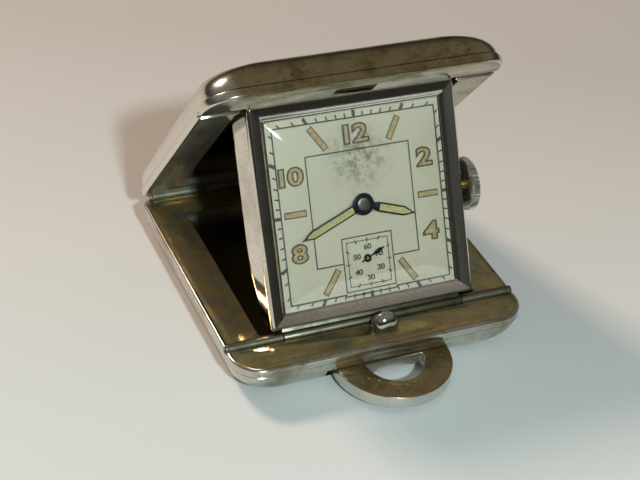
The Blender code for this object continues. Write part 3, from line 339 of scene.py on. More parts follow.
def start_material(name):
    """An empty material, its node tree, its shader and the place on the object."""
    made = bpy.data.materials.new(name)
    made.use_nodes = True
    tree = made.node_tree
    return made, tree, tree.nodes["Principled BSDF"], add(tree, "ShaderNodeTexCoord").outputs["Object"]


def tarnished(name, colours, patch, share, speck, gloss, depth=0.02, wear_and_sheen=None, oxide=0.0):
    """A plated metal that has tarnished in patches, with small stains and fine wear.
    colours are those of the clean, the tarnished and the stained metal. patch and speck are the sizes of the
    patches and the stains, share is how much has tarnished, gloss is the least and the most roughness, and
    depth is that of the fine wear. The lighter colour given for wear stands for metal rubbed back by hands,
    and on the bail's side also for a painted reflection of the table; with it come the axis that it goes by,
    and where it starts and is full. oxide is how far the dull film hides the metal."""
    clean, tarnish, stain = [colour(code) for code in colours.split()]
    made, tree, shader, where = start_material(name)
    patches = add(tree, "ShaderNodeTexNoise", {"Vector": where, "Scale": per(patch), "Detail": 6.0,
                                               "Roughness": 0.62})
    stains = add(tree, "ShaderNodeTexNoise", {"Vector": where, "Scale": per(speck), "Detail": 3.0,
                                              "Roughness": 0.7})
    grain = add(tree, "ShaderNodeTexNoise", {"Vector": where, "Scale": per(0.12), "Detail": 2.0})
    aged = add(tree, "ShaderNodeValToRGB", {"Fac": patches},
               stops=((0.62 - share * 0.3, grey(0)), (0.78 - share * 0.3, grey(1))))
    spotted = add(tree, "ShaderNodeValToRGB", {"Fac": stains}, stops=((0.6, grey(0)), (0.72, grey(1))))
    film = add(tree, "ShaderNodeMix", {"Factor": aged, 6: clean, 7: tarnish}, data_type="RGBA")
    metal = add(tree, "ShaderNodeMix", {"Factor": spotted, 6: film.outputs[2], 7: stain}, data_type="RGBA")
    # A lighter colour past a level along one axis: rubbed metal, and on the bail's side also a painted
    # reflection of the table
    if wear_and_sheen:
        bright, axis, start, full = wear_and_sheen
        axes = add(tree, "ShaderNodeSeparateXYZ", {"Vector": where})
        aside = add(tree, "ShaderNodeMath", {0: axes.outputs[axis]}, operation="ABSOLUTE")
        ragged = add(tree, "ShaderNodeMath", {0: patches, 1: 1.6 * (full - start) * MM, 2: aside},
                     operation="MULTIPLY_ADD")
        rubbed_and_sheen = add(tree, "ShaderNodeMapRange", {"Value": ragged, "From Min": start * MM,
                                                  "From Max": full * MM})
        metal = add(tree, "ShaderNodeMix", {"Factor": rubbed_and_sheen, 6: metal.outputs[2], 7: colour(bright)},
                    data_type="RGBA")
    rough = add(tree, "ShaderNodeMapRange", {"Value": patches, "From Min": 0.3, "From Max": 0.75,
                                             "To Min": gloss[0], "To Max": gloss[1]})
    relief = add(tree, "ShaderNodeMath", {0: grain, 1: stains}, operation="ADD")
    bump = add(tree, "ShaderNodeBump", {"Height": relief, "Strength": 0.25, "Distance": depth * MM})
    feed(tree, shader, {"Base Color": metal.outputs[2], "Roughness": rough, "Normal": bump,
                        "Metallic": 1.0 - oxide})
    return made


# Pressed nickel plate on the outside of both shells: cool silver where it rubs, brown where it has aged
shell_nickel = tarnished("pressed_nickel_plate", "#ccc9be #a0957f #6e6148", 7.0, 0.5, 1.1, (0.14, 0.28))
# The lid's plate has browned where it isn't handled
lid_nickel = tarnished("browned_nickel_plate", "#a59672 #7f7050 #4a402a", 3.2, 0.55, 0.6, (0.17, 0.3),
                       wear_and_sheen=("#e0ddd3", "X", 20.5, 24.0))
# Gilt lining plate, tarnished to bronze with green-grey patches and a few dark stains
lining_gilt = tarnished("tarnished_gilt_lining", "#b39966 #8f8a72 #2e2e25", 3.0, 0.6, 0.5, (0.06, 0.17),
                        0.016, oxide=0.2)
# The lid's lining has lost most of its gilding: grey-green with brown clouds
lining_grey = tarnished("greyed_lining_plate", "#b4ad9b #8f8c78 #34342a", 4.0, 0.5, 0.6, (0.12, 0.28),
                        0.016, oxide=0.2)
# Drawn nickel-silver tube of the hinges: grey-green, a little duller than the shells
hinge_nickel = tarnished("nickel_silver_tube", "#817e6b #686553 #403d31", 3.0, 0.5, 0.4, (0.38, 0.52), 0.03)
# Polished steel of the watch head: bright, with a faint warm and purple-brown bloom
head_steel = tarnished("polished_case_steel", "#e9e5dc #d3ccbf #beb6a9", 8.0, 0.4, 0.5, (0.05, 0.12), 0.004)
# Hard steel of the bail: flat faces browned by handling, and a lighter side that is partly rubbed bright and
# partly a painted reflection of the table
bail_steel = tarnished("handled_bail_steel_with_painted_sheen", "#b09a74 #94835f #5d5340", 3.0, 0.5, 0.35, (0.2, 0.34),
                       wear_and_sheen=("#d6d3ca", "Z", 2.66, 2.54), oxide=0.04)
# The hook's steel, polished so that it mirrors the room
hook_steel = tarnished("polished_catch_steel", "#c9c6c0 #a8a196 #7d766a", 4.0, 0.3, 0.6, (0.06, 0.14), 0.006)
# Nickel-plated crown: bright, with patches of darker tarnish and a few stains
crown_steel = tarnished("nickel_plated_crown", "#dedbd2 #b8b4a8 #7d796e", 1.5, 0.6, 0.35, (0.22, 0.36))
# Rolled brass of the movement, lightly dulled
movement_brass = tarnished("rolled_movement_brass", "#c9a65c #a5854a #7a6238", 4.0, 0.4, 0.4, (0.22, 0.34))
# Cut steel of the small movement pieces: grey, with a soft shine
movement_steel = tarnished("cut_movement_steel", "#b8b8b6 #94938f #77746e", 3.0, 0.3, 0.4, (0.16, 0.26))
# Blued steel, nearly black until it catches a lamp
blued_steel = tarnished("blued_hand_steel", "#1d1f27 #15161c #2b2320", 1.5, 0.4, 0.3, (0.26, 0.4), 0.006)


def boss_finish():
    """The boss's rim is blued nearly black, and its middle is worn back to grey steel."""
    made, tree, shader, where = start_material("worn_boss_steel")
    centre = WATCH @ Vector((0, dial_rise, 1.0))
    apart = add(tree, "ShaderNodeVectorMath", {0: where, 1: centre}, operation="DISTANCE")
    wear = add(tree, "ShaderNodeTexNoise", {"Vector": where, "Scale": per(0.5), "Detail": 4.0})
    reach = add(tree, "ShaderNodeMath", {0: wear, 1: 0.35 * MM, 2: apart.outputs["Value"]},
                operation="MULTIPLY_ADD")
    rim = add(tree, "ShaderNodeMapRange", {"Value": reach, "From Min": 0.95 * MM, "From Max": 1.15 * MM})
    mixed = add(tree, "ShaderNodeMix", {"Factor": rim, 6: colour("#66675f"), 7: colour("#23252c")},
                data_type="RGBA")
    feed(tree, shader, {"Base Color": mixed.outputs[2], "Metallic": 1.0, "Roughness": 0.32})
    return made


def dial_lacquer():
    """Silvered dial under clear lacquer: cream, with grey age spots above the centre."""
    made, tree, shader, where = start_material("silvered_dial_lacquer")
    cloud = add(tree, "ShaderNodeTexNoise", {"Vector": where, "Scale": per(9.0), "Detail": 4.0})
    base = add(tree, "ShaderNodeMix", {"Factor": cloud, 6: colour("#8d8576"), 7: colour("#989082")},
               data_type="RGBA")
    spots = add(tree, "ShaderNodeTexNoise", {"Vector": where, "Scale": per(0.9), "Detail": 6.0,
                                             "Roughness": 0.7})
    spotted = add(tree, "ShaderNodeValToRGB", {"Fac": spots}, stops=((0.44, grey(0)), (0.6, grey(1))))
    centre = WATCH @ Vector((0.4, 23.4, dial_face))
    apart = add(tree, "ShaderNodeVectorMath", {0: where, 1: centre}, operation="DISTANCE")
    near = add(tree, "ShaderNodeMapRange", {"Value": apart.outputs["Value"], "From Min": 1.0 * MM,
                                            "From Max": 6.0 * MM, "To Min": 1.0, "To Max": 0.0})
    amount = add(tree, "ShaderNodeMath", {0: spotted, 1: near}, operation="MULTIPLY")
    aged = add(tree, "ShaderNodeMix", {"Factor": amount, 6: base.outputs[2], 7: colour("#4d473a")},
               data_type="RGBA")
    grain = add(tree, "ShaderNodeTexNoise", {"Vector": where, "Scale": per(0.15), "Detail": 2.0})
    bump = add(tree, "ShaderNodeBump", {"Height": grain, "Strength": 0.1, "Distance": 0.01 * MM})
    feed(tree, shader, {"Base Color": aged.outputs[2], "Roughness": 0.42, "IOR": 1.5, "Normal": bump})
    return made


def grained(name, light, dark, size, rough, depth):
    """A painted or printed layer with a fine grain of two shades."""
    made, tree, shader, where = start_material(name)
    grain = add(tree, "ShaderNodeTexNoise", {"Vector": where, "Scale": per(size), "Detail": 5.0,
                                             "Roughness": 0.65})
    shades = add(tree, "ShaderNodeValToRGB", {"Fac": grain},
                 stops=((0.36, colour(dark)), (0.64, colour(light))))
    bump = add(tree, "ShaderNodeBump", {"Height": grain, "Strength": 0.3, "Distance": depth * MM})
    feed(tree, shader, {"Base Color": shades, "Roughness": rough, "Normal": bump})
    return made


def table_laminate():
    """Pale matt laminate with painted shade: a cooler, lighter white near the camera and a darker, warmer
    grey behind, as the lamps' light falls off and tints it.
    """
    made, tree, shader, where = start_material("pale_table_laminate")
    axes = add(tree, "ShaderNodeSeparateXYZ", {"Vector": where})
    slant = add(tree, "ShaderNodeMath", {0: axes.outputs["X"], 1: 0.5, 2: axes.outputs["Y"]},
                operation="MULTIPLY_ADD")
    away = add(tree, "ShaderNodeMapRange", {"Value": slant, "From Min": -60 * MM, "From Max": 85 * MM})
    # Painted shade: lighter and cooler near the camera, darker and warmer towards the back
    painted_falloff = add(tree, "ShaderNodeValToRGB", {"Fac": away},
               stops=((0.0, colour("#e4ebe8")), (0.45, colour("#dedcd7")), (1.0, colour("#cbc4bc"))))
    grain = add(tree, "ShaderNodeTexNoise", {"Vector": where, "Scale": per(0.5), "Detail": 3.0})
    bump = add(tree, "ShaderNodeBump", {"Height": grain, "Strength": 0.05, "Distance": 0.02 * MM})
    feed(tree, shader, {"Base Color": painted_falloff, "Roughness": 0.55, "Normal": bump})
    return made


def acrylic():
    """Moulded acrylic crystal: clear, slightly yellowed, and it lets the lamps through to the dial."""
    made, tree, shader, _ = start_material("moulded_acrylic_crystal")
    feed(tree, shader, {"Base Color": colour("#ecece2"), "Roughness": 0.1, "IOR": 1.49,
                        "Transmission Weight": 1.0})
    rays = add(tree, "ShaderNodeLightPath")
    clear = add(tree, "ShaderNodeBsdfTransparent")
    both = add(tree, "ShaderNodeMixShader", {0: rays.outputs["Is Shadow Ray"], 1: shader, 2: clear})
    feed(tree, tree.nodes["Material Output"], {"Surface": both})
    return made


boss_steel = boss_finish()
# Old luminous paint: ochre, dry and grainy
lume_paint = grained("aged_luminous_paint", "#97805a", "#6b573a", 0.35, 0.75, 0.03)
# The same paint under the hands' frames, a little yellower
hand_lume = grained("aged_hand_lume", "#978b60", "#746b49", 0.3, 0.7, 0.03)
# Transfer-printed ink, black with a faint brown-black grain
print_ink = grained("transfer_printed_ink", "#1e1b16", "#12100d", 0.4, 0.5, 0.005)
crystal_acrylic = acrylic()


# Case halves

def shell_outline(inset, middle, front, rear):
    """A shell's outline moved in by a distance, with the radius of its front and rear corners."""
    low = middle - shell_depth / 2 + inset
    high = middle + shell_depth / 2 - inset
    return plan(shell_width - 2 * inset, low, high, max(front, least_corner), max(rear, least_corner))


def rim_outline(inset, middle):
    """The rim's outline, moved in by a distance, corners included."""
    return shell_outline(inset, middle, front_corner - inset, rear_corner - inset)


def dome_level(turn, height, skin_depth, sign, middle):
    """A level of the pressed edge, from the flat face at 0 to the step at a right angle."""
    inset = band_step + round_width - (round_width - skin_depth) * sin(turn)
    depth = height - round_height + (round_height - skin_depth) * cos(turn)
    share = 1 - sin(turn)
    rim_front = front_corner - band_step
    rim_rear = rear_corner - band_step
    front = rim_front + share * (outer_front_corner - rim_front) - skin_depth
    rear = rim_rear + share * (outer_rear_corner - rim_rear) - skin_depth
    return [(x, y, sign * depth) for x, y in shell_outline(inset, middle, front, rear)]


def pressed_shell(name, height, sign, middle, finish):
    """A pressed case half: flat face, rounded edge, groove line, rim band and its walls."""
    turns = [pi / 2 * i / 18 for i in range(19)]
    rings = [dome_level(turn, height, 0, sign, middle) for turn in turns]
    levels = (
        (band_step + step_groove * 0.7, band_height + 0.19),
        (band_step + step_groove, band_height + 0.12),
        (band_step + step_groove * 0.7, band_height + 0.04),
        (band_step / 2, band_height),
        (0.06, band_height - 0.02),
        (0, band_height - 0.1),
        *[(rim_round * (1 - cos(turn)), rim_round * (1 - sin(turn))) for turn in turns[::3]],
        (rim_lip - 0.03, 0),
        (rim_lip, 0.03),
        (rim_lip, lining_thickness),
        (band_step + wall, lining_thickness),
    )
    for inset, depth in levels:
        rings.append([(x, y, sign * depth) for x, y in rim_outline(inset, middle)])
    rings += [dome_level(turn, height, wall, sign, middle) for turn in reversed(turns)]
    return make(name, skin(rings), finish)


def hinge_grooves(watch_line, main_line, main_reach):
    """Cutters for the barrels of both hinges, which lie across the rim."""
    cutters = []
    whole = shell_width / 2 + past
    for radius, line, reach in ((watch_barrel, watch_line, whole), (main_barrel, main_line, main_reach)):
        profile = ((-reach, radius + running), (reach, radius + running))
        cutters.append(turned(profile, (line, 0), count=40))
    return cutters


def crown_notch(watch_line, low, high):
    """Cutter for the notch that the crown stands in, from the middle to past the crown's face."""
    front = watch_line + dial_rise - crown_radius - swing
    return block((0, front, low), (crown_reach + 2 * swing, front + 2 * (crown_radius + swing), high))


def catch_slot(watch_line, low, high, left=0, front=0, rear=0):
    """Cutter for the slot that the hook slides in, with more room to the left, the front and the rear."""
    start = watch_line - hook_setback - catch_slot_half
    return block((hook_side - catch_slot_left - left, start - front, low),
                 (hook_side + catch_slot_right, start + 2 * catch_slot_half + rear, high))


def lower_case():
    """Lower shell with its hinge notches and the slot of the bail, and its lining plate."""
    shell = pressed_shell("lower_shell_pressing", rim_height, -1, 0, shell_nickel)
    front = -shell_depth / 2
    room = 0.1
    slide = 1.5
    tongue_end = 3.85
    slot_low = bail_rise - room - rim_height
    slot = block((bail_side - bail_radius - slide, front - past, slot_low),
                 (bail_side + bail_radius + room, front + tongue_end, slot_low + bail_thickness + 2 * room))
    carve(shell, *hinge_grooves(watch_axis, lid_axis, shell_width / 2 - main_inset + seat), slot)
    mount(shell, RIM, "base", "nickel", "lower_shell")

    outline = rim_outline(rim_lip + seat, 0)
    plate = make("lower_lining_plate", pushed(outline, seat - lining_thickness, 0), lining_gilt)
    deep = -lining_thickness - past
    well_low = watch_axis + well_front
    well_plan = plan(well_width, well_low, well_low + well_length, well_corner, well_corner, 6)
    knuckle_half = shell_width / 2 - outer_knuckle + room
    knuckle_front = watch_axis - watch_barrel - 0.15
    knuckle_notch = block((-knuckle_half, knuckle_front, deep), (knuckle_half, well_low + past, past))
    carve(plate, pushed(well_plan, deep, past), crown_notch(watch_axis, deep, past), knuckle_notch,
          *hinge_grooves(watch_axis, lid_axis, shell_width / 2 + past), catch_slot(watch_axis, deep, past))
    soften(plate, lining_edge)
    mount(plate, RIM, "base", "gilt", "lower_frame")


def lid_case():
    """Lid shell and its lining plate, drawn as closed over the lower shell."""
    middle = -lid_gap - shell_depth / 2
    watch_line = watch_axis - lid_axis
    shell = pressed_shell("lid_shell_pressing", lid_height, 1, middle, lid_nickel)
    carve(shell, *hinge_grooves(watch_line, 0, shell_width / 2 - main_inset + seat))
    mount(shell, LID, "lid", "nickel", "lid_shell")

    outline = rim_outline(rim_lip + seat, middle)
    plate = make("lid_lining_plate", pushed(outline, 0, lining_thickness - seat), lining_grey)
    deep = lining_thickness + past
    half = well_width / 2
    chamfer = 1.3
    well_low = watch_line + seat
    well_high = -4.0
    right = ((half - chamfer, well_low), (half, well_low + chamfer), (half, well_high))
    carve(plate, pushed(mirrored(right), -past, deep), crown_notch(watch_line, -past, deep),
          *hinge_grooves(watch_line, 0, shell_width / 2 + past),
          catch_slot(watch_line, -past, deep, left=0.8, front=0.2, rear=0.9))
    soften(plate, lining_edge)
    mount(plate, LID, "lid", "gilt", "lid_frame")


def barrel(name, radius, bore, low, high, along_y):
    """A hinge knuckle with its ends broken, bored for the pin."""
    edge = 0.08
    profile = ((low, bore), (low, radius - edge), (low + edge, radius), (high - edge, radius),
               (high, radius - edge), (high, bore))
    return make(name, turned(profile, (along_y, 0), closed=True), hinge_nickel)


def pin(name, radius, low, high, along_y):
    """A hinge pin with slightly domed ends."""
    profile = ((low, radius * 0.4), (low + 0.05, radius * 0.8), (low + 0.12, radius),
               (high - 0.12, radius), (high - 0.05, radius * 0.8), (high, radius * 0.4))
    return make(name, turned(profile, (along_y, 0), count=32), movement_steel)


def hinges():
    """Five knuckles of the main hinge, three of the watch hinge, and their pins."""
    half = shell_width / 2 - main_inset
    pitch = 2 * half / main_knuckles
    for i in range(main_knuckles):
        low = -half + i * pitch + knuckle_gap / 2
        space, along_y, body = ((LID, 0, "lid") if i % 2 else (RIM, lid_axis, "base"))
        made = barrel("main_hinge_barrel_%d" % (i + 1), main_barrel, main_pin + seat, low,
                      low + pitch - knuckle_gap, along_y)
        mount(made, space, body, "nickel", "main_knuckle_%d" % (i + 1))
    mount(pin("main_hinge_rod", main_pin, -half, half, lid_axis), RIM, "base", "steel", "main_hinge_pin")
    end = shell_width / 2 - watch_inset
    inner = shell_width / 2 - outer_knuckle
    for side, low, high in (("right", inner, end), ("left", -end, -inner)):
        made = barrel("watch_hinge_barrel_" + side, watch_barrel, watch_pin + seat, low, high, watch_axis)
        mount(made, RIM, "base", "nickel", "watch_knuckle_" + side)
    mount(pin("watch_hinge_rod", watch_pin, -end, end, watch_axis), RIM, "base", "steel", "watch_hinge_pin")
    middle = refined("watch_knuckle_middle", "watch_hinge_leaf", hinge_nickel, 0.05)
    mount(middle, TABLE, "watch", "nickel", "watch_knuckle_middle")


# Watch head

def long_sides(points):
    """An outline of 28 points with more points along its left and right sides."""
    extra = 18
    more = []
    for i, point in enumerate(points):
        more.append(point)
        if i in (13, 27):
            after = points[(i + 1) % 28]
            for j in range(1, extra + 1):
                more.append(tuple(a + (b - a) * j / (extra + 1) for a, b in zip(point, after)))
    return more


def head_case():
    """The case middle: sides that flare from the bezel and curve back, ends rounded over to the back."""
    back_round = 3.5
    flare_depth = 3.2
    flare = 0.24
    side_round = 1.4
    taper = 1.2
    taper_length = 13.0
    corner = 0.6
    straight = case_depth - back_round
    levels = [(straight * i / 5, 0.0) for i in range(5)]
    levels += [(straight + back_round * sin(pi / 2 * i / 16), pi / 2 * i / 16) for i in range(17)]
    rings = []
    for depth, turn in levels:
        pull = 1 - cos(min(turn, pi / 2 * 0.98))
        out = flare * min(depth, flare_depth)
        past_flare = max(depth - flare_depth, 0) / (case_depth - flare_depth)
        width = bezel_width + 2 * (out - side_round * (1 - cos(pi / 2 * past_flare)))
        low = bezel_low + back_round * pull
        outline = plan(width, low, bezel_high - back_round * pull, corner, corner, 6)
        ring = []
        for x, y in long_sides(outline):
            share = max(bezel_low + taper_length - y, 0) / taper_length
            narrowed = taper * share ** 2 * min(depth / flare_depth, 1)
            ring.append((x * (1 - narrowed / (width / 2)), y, case_front - depth))
        rings.append(ring)
    room = 1.2
    ledge = 1.6
    snap_width = opening_width - 1.3
    snap_height = opening_height - 3.7
    snap_level = case_back + 0.3
    floor_level = case_back + 0.57
    openings = (
        (snap_width, snap_height, case_back, ledge),
        (snap_width, snap_height, snap_level, ledge),
        (snap_width - ledge, snap_height - ledge, snap_level, ledge),
        (snap_width - ledge, snap_height - ledge, floor_level, ledge),
        (opening_width + room, opening_height + room, floor_level, least_corner),
        (opening_width + room, opening_height + room, case_front, least_corner),
    )
    rings += [long_sides(level_ring(width, height, level, radius, 6))
              for width, height, level, radius in openings]
    case = make("watch_head_case", skin(rings, closed=True), head_steel)
    tube = 0.9
    tube_start = 13.0
    tube_end = 17.0
    carve(case, turned(((tube_start, tube), (tube_end, tube)), (dial_rise, crown_depth), count=32))
    mount(case, WATCH, "watch", "polished_steel", "watch_case")
    cover = refined("back_cover", "snap_back_cover", head_steel, 0.06, segments=3)
    mount(cover, TABLE, "watch", "polished_steel", "back_cover")


def bezel():
    """Square mitred bezel: chamfered outside, a shallow slope, then a steep cove down to the crystal."""
    side = (bezel_width - opening_width) / 2
    drops = ((0, 0.5), (0.03, 0.4), (0.3, 0.07), (0.38, 0.01), (0.46, 0), (0.52, 0.01), (1.72, 0.26),
             (1.79, 0.3), (2.1, 0.68), (2.18, 0.74), (side - 0.06, 0.77), (side, 0.82))
    profile = [(0, bezel_base), *[(inset, bezel_front - drop) for inset, drop in drops], (side, bezel_base)]
    low_end = dial_rise - opening_height / 2
    high_end = dial_rise + opening_height / 2
    rings = []
    for inset, level in profile:
        share = inset / side
        low = bezel_low + share * (low_end - bezel_low)
        high = bezel_high - share * (bezel_high - high_end)
        radius = max(0.35 * (1 - share), 0.1)
        rings.append([(x, y, level) for x, y in plan(bezel_width - 2 * inset, low, high, radius, radius, 4)])
    made = make("mitred_bezel", skin(rings, closed=True), head_steel)
    mount(made, WATCH, "watch", "polished_steel", "bezel", crease=24)


def crystal():
    """Square crystal with bevelled edges and a faint dome, hollow over the hands."""
    width = opening_width - 2 * seat
    height = opening_height - 2 * seat
    top = bezel_front + 0.35
    base = dial_face + seat
    thick = 0.32
    wall_in = 0.12
    corner = 0.4
    rounding = 0.45
    dome = ((0.0, 1.22), (0.06, 1.18), (0.2, 1.14), (0.4, 1.09), (0.9, 0.92), (1.4, 0.75), (1.9, 0.585),
            (2.4, 0.44), (3.0, 0.3), (3.6, 0.195), (4.3, 0.11), (5.2, 0.045), (6.5, 0.01), (8.5, 0.0))

    def level_of(inset, reach, level):
        """A level of the dome, whose corners get rounder inward."""
        return level_ring(width - 2 * reach, height - 2 * reach, level, corner + inset * rounding, 8)

    outside = [level_of(0, 0, base)]
    outside += [level_of(inset, inset, top - drop) for inset, drop in dome]
    made = make("acrylic_crystal", skin(outside), crystal_acrylic)
    inside = [level_of(0, wall_in, base - past)]
    inside += [level_of(inset, inset - 0.2 + wall_in, top - drop - thick) for inset, drop in dome[2:]]
    carve(made, skin(inside))
    mount(made, WATCH, "watch", "crystal", "crystal", crease=30)


def ribbon(points, width, low, high, shape, closed=False):
    """A flat line of even width through points, with square mitres."""
    count = len(points)
    sides = []
    for i, point in enumerate(points):
        here = Vector(point)
        before = Vector(points[i - 1]) if closed or i else here
        after = Vector(points[(i + 1) % count]) if closed or i < count - 1 else here
        one = (here - before).normalized()
        two = (after - here).normalized()
        along = (one + two).normalized()
        across = Vector((-along.y, along.x))
        reach = width / 2
        if one.length and two.length:
            reach /= max(across.dot(Vector((-one.y, one.x))), 0.3)
        sides.append((here - across * reach, here + across * reach))
    rings = []
    for left, right in sides:
        rings.append([(*left, low), (*right, low), (*right, high), (*left, high)])
    return skin(rings, closed, shape)


# Where the printing is centred, half the sides of its squares, and the levels of ink and paint
print_centre = Vector((0.2, 16.54))
track_half = 12.35
inner_half = 7.9
seconds_centre = print_centre + Vector((0.0, -8.2))
seconds_outer_half = 3.83
seconds_inner_half = 3.16
ink_low = dial_face
ink_high = dial_face + 0.02
lume_high = dial_face + 0.07


def printed(dx, dy):
    """A place on the printing, from its centre."""
    return print_centre + Vector((dx, dy))


def square_points(centre, half):
    """Corners of a square."""
    return [centre + Vector((half * a, half * b)) for a, b in ((-1, -1), (1, -1), (1, 1), (-1, 1))]


def dial_lines():
    """The printed square track, the inner square and the squares of the seconds dial."""
    shape = bmesh.new()
    step = seconds_outer_half + 0.12
    low = -track_half
    dip = low - 0.28
    track = [printed(a, b) for a, b in ((low, low), (-step, low), (-step, dip), (step, dip), (step, low),
                                        (-low, low), (-low, -low), (low, -low))]
    gap = seconds_outer_half
    inner = [printed(a, b) for a, b in ((-gap, -inner_half), (-inner_half, -inner_half),
                                        (-inner_half, inner_half), (inner_half, inner_half),
                                        (inner_half, -inner_half), (gap, -inner_half))]
    lines = (
        (track, 0.22, True),
        (inner, 0.19, False),
        (square_points(seconds_centre, seconds_outer_half), 0.18, True),
        (square_points(seconds_centre, seconds_inner_half), 0.13, True),
    )
    for points, width, closed in lines:
        ribbon(points, width, ink_low, ink_high, shape, closed)
    mount(make("dial_printed_lines", shape, print_ink), WATCH, "watch", "dial")


def glyphs(name, text, weight):
    """A word of the built-in letter face as a flat mesh, fattened by weight."""
    curve = bpy.data.curves.new(name, "FONT")
    curve.body = text
    curve.size = 1.0
    curve.offset = weight
    curve.resolution_u = 8
    curve.space_character = 0.92
    holder = bpy.data.objects.new(name, curve)
    bpy.context.scene.collection.objects.link(holder)
    graph = bpy.context.evaluated_depsgraph_get()
    mesh = bpy.data.meshes.new_from_object(holder.evaluated_get(graph), depsgraph=graph)
    bpy.data.objects.remove(holder, do_unlink=True)
    bpy.data.curves.remove(curve)
    return mesh


def stamp(mesh, fit, low, high, shape):
    """Add a flat word to a shape as a layer from low to high, its points moved by fit."""
    flat = bmesh.new()
    flat.from_mesh(mesh)
    bmesh.ops.remove_doubles(flat, verts=flat.verts, dist=0.0001)
    made = {}
    for vert in flat.verts:
        x, y = fit(vert.co)
        made[vert.index] = (shape.verts.new((x, y, low)), shape.verts.new((x, y, high)))
    for face in flat.faces:
        corners = [made[vert.index] for vert in face.verts]
        shape.faces.new([pair[1] for pair in corners])
        shape.faces.new([pair[0] for pair in reversed(corners)])
    for edge in flat.edges:
        if edge.is_boundary:
            a, b = edge.verts
            shape.faces.new((made[a.index][0], made[b.index][0], made[b.index][1], made[a.index][1]))
    flat.free()


def into_box(mesh, centre, width, height):
    """The move that fits a flat word into a box round a centre."""
    xs = [vert.co.x for vert in mesh.vertices]
    ys = [vert.co.y for vert in mesh.vertices]
    middle = Vector(((min(xs) + max(xs)) / 2, (min(ys) + max(ys)) / 2))
    wide = width / (max(xs) - min(xs))
    tall = height / (max(ys) - min(ys))
    return lambda co: (centre.x + (co.x - middle.x) * wide, centre.y + (co.y - middle.y) * tall)


def dial_numerals():
    """Luminous numerals and bars with dark outlines, and the small printed numbers of the seconds dial."""
    outline_weight = 0.07
    fill_weight = 0.008
    small_weight = 0.035
    small_width = 1.2
    small_height = 0.8
    bar_width = 0.98
    bar_fill_width = 0.66
    bar_edge = 0.13
    ink = bmesh.new()
    lume = bmesh.new()
    numerals = (
        ("12", 0.04, 10.12, 4.0, 2.9),
        ("2", 10.13, 5.3, 2.65, 2.9),
        ("4", 10.1, -5.4, 2.7, 2.85),
        ("8", -10.22, -5.32, 2.6, 2.85),
        ("10", -10.25, 5.5, 3.85, 2.8),
    )
    for text, x, y, width, height in numerals:
        outline = glyphs("numeral_" + text, text, outline_weight)
        fill = glyphs("numeral_fill_" + text, text, fill_weight)
        fit = into_box(outline, printed(x, y), width, height)
        stamp(outline, fit, ink_low, ink_high, ink)
        stamp(fill, fit, ink_high, lume_high, lume)
    bars = (
        ((-6.89, 11.76), (-4.64, 8.53)),
        ((6.62, 11.58), (4.91, 8.55)),
        ((8.59, -0.04), (11.73, -0.09)),
        ((4.84, -8.68), (7.02, -11.89)),
        ((-4.74, -8.55), (-7.09, -11.79)),
        ((-11.87, 0.25), (-8.54, 0.2)),
    )
    for start, end in bars:
        start, end = printed(*start), printed(*end)
        along = (end - start).normalized()
        ribbon([start, end], bar_width, ink_low, ink_high, ink)
        fill = [start + along * bar_edge, end - along * bar_edge]
        ribbon(fill, bar_fill_width, ink_high, lume_high, lume)
    small = (("60", 0.0, 2.2), ("50", -1.75, 0.95), ("40", -1.7, -1.25), ("30", 0.1, -2.25),
             ("20", 1.75, -1.0), ("10", 1.7, 0.95))
    for text, x, y in small:
        flat = glyphs("seconds_" + text, text, small_weight)
        centre = seconds_centre + Vector((x, y))
        stamp(flat, into_box(flat, centre, small_width, small_height), ink_low, ink_high, ink)
    mount(make("dial_printed_numerals", ink, print_ink), WATCH, "watch", "dial")
    mount(make("dial_luminous_paint", lume, lume_paint), WATCH, "watch", "hand")


def ring_tree(name, sizes, layout, parts=2):
    """Node tree that sets even blocks round a ring, in one finish, and keeps the piece's own mesh.
    sizes names its inputs. layout adds the nodes for each block's spot, size and turn."""
    tree = bpy.data.node_groups.new(name, "GeometryNodeTree")
    kinds = {"Body": "Geometry", "Count": "Int", **{size: "Float" for size in sizes}, "Finish": "Material"}
    for label, kind in kinds.items():
        tree.interface.new_socket(label, in_out="INPUT", socket_type="NodeSocket" + kind)
    tree.interface.new_socket("Ring", in_out="OUTPUT", socket_type="NodeSocketGeometry")
    given = add(tree, "NodeGroupInput").outputs
    pitch = add(tree, "ShaderNodeMath", {0: 2 * pi, 1: given["Count"]}, operation="DIVIDE")
    index = add(tree, "GeometryNodeInputIndex")
    turn = add(tree, "ShaderNodeMath", {0: index, 1: pitch}, operation="MULTIPLY")
    sine, cosine = [add(tree, "ShaderNodeMath", {0: turn}, operation=kind) for kind in ("SINE", "COSINE")]
    spot, size, angle = layout(tree, given, turn, sine, cosine)
    points = add(tree, "GeometryNodePoints", {"Count": given["Count"], "Position": spot})
    mark = add(tree, "GeometryNodeMeshCube", {"Size": size, "Vertices X": parts})
    facing = add(tree, "FunctionNodeEulerToRotation", {"Euler": angle})
    row = add(tree, "GeometryNodeInstanceOnPoints", {"Points": points, "Instance": mark, "Rotation": facing})
    both = add(tree, "GeometryNodeJoinGeometry", {0: row})
    feed(tree, both, {0: given["Body"]})
    solid = add(tree, "GeometryNodeRealizeInstances", {0: both})
    done = add(tree, "GeometryNodeSetMaterial", {"Geometry": solid, "Material": given["Finish"]})
    add(tree, "NodeGroupOutput", {"Ring": done})
    return tree


def grow(name, tree, shape, finish, values):
    """A shape with a node tree's blocks set round it from named sizes, turned into plain mesh."""
    piece = make(name, shape, finish)
    step = piece.modifiers.new(name, "NODES")
    step.node_group = tree
    sockets = {item.name: item.identifier for item in tree.interface.items_tree if item.in_out == "INPUT"}
    for label, value in values.items():
        step[sockets[label]] = value
    step[sockets["Finish"]] = finish
    return settle(piece)


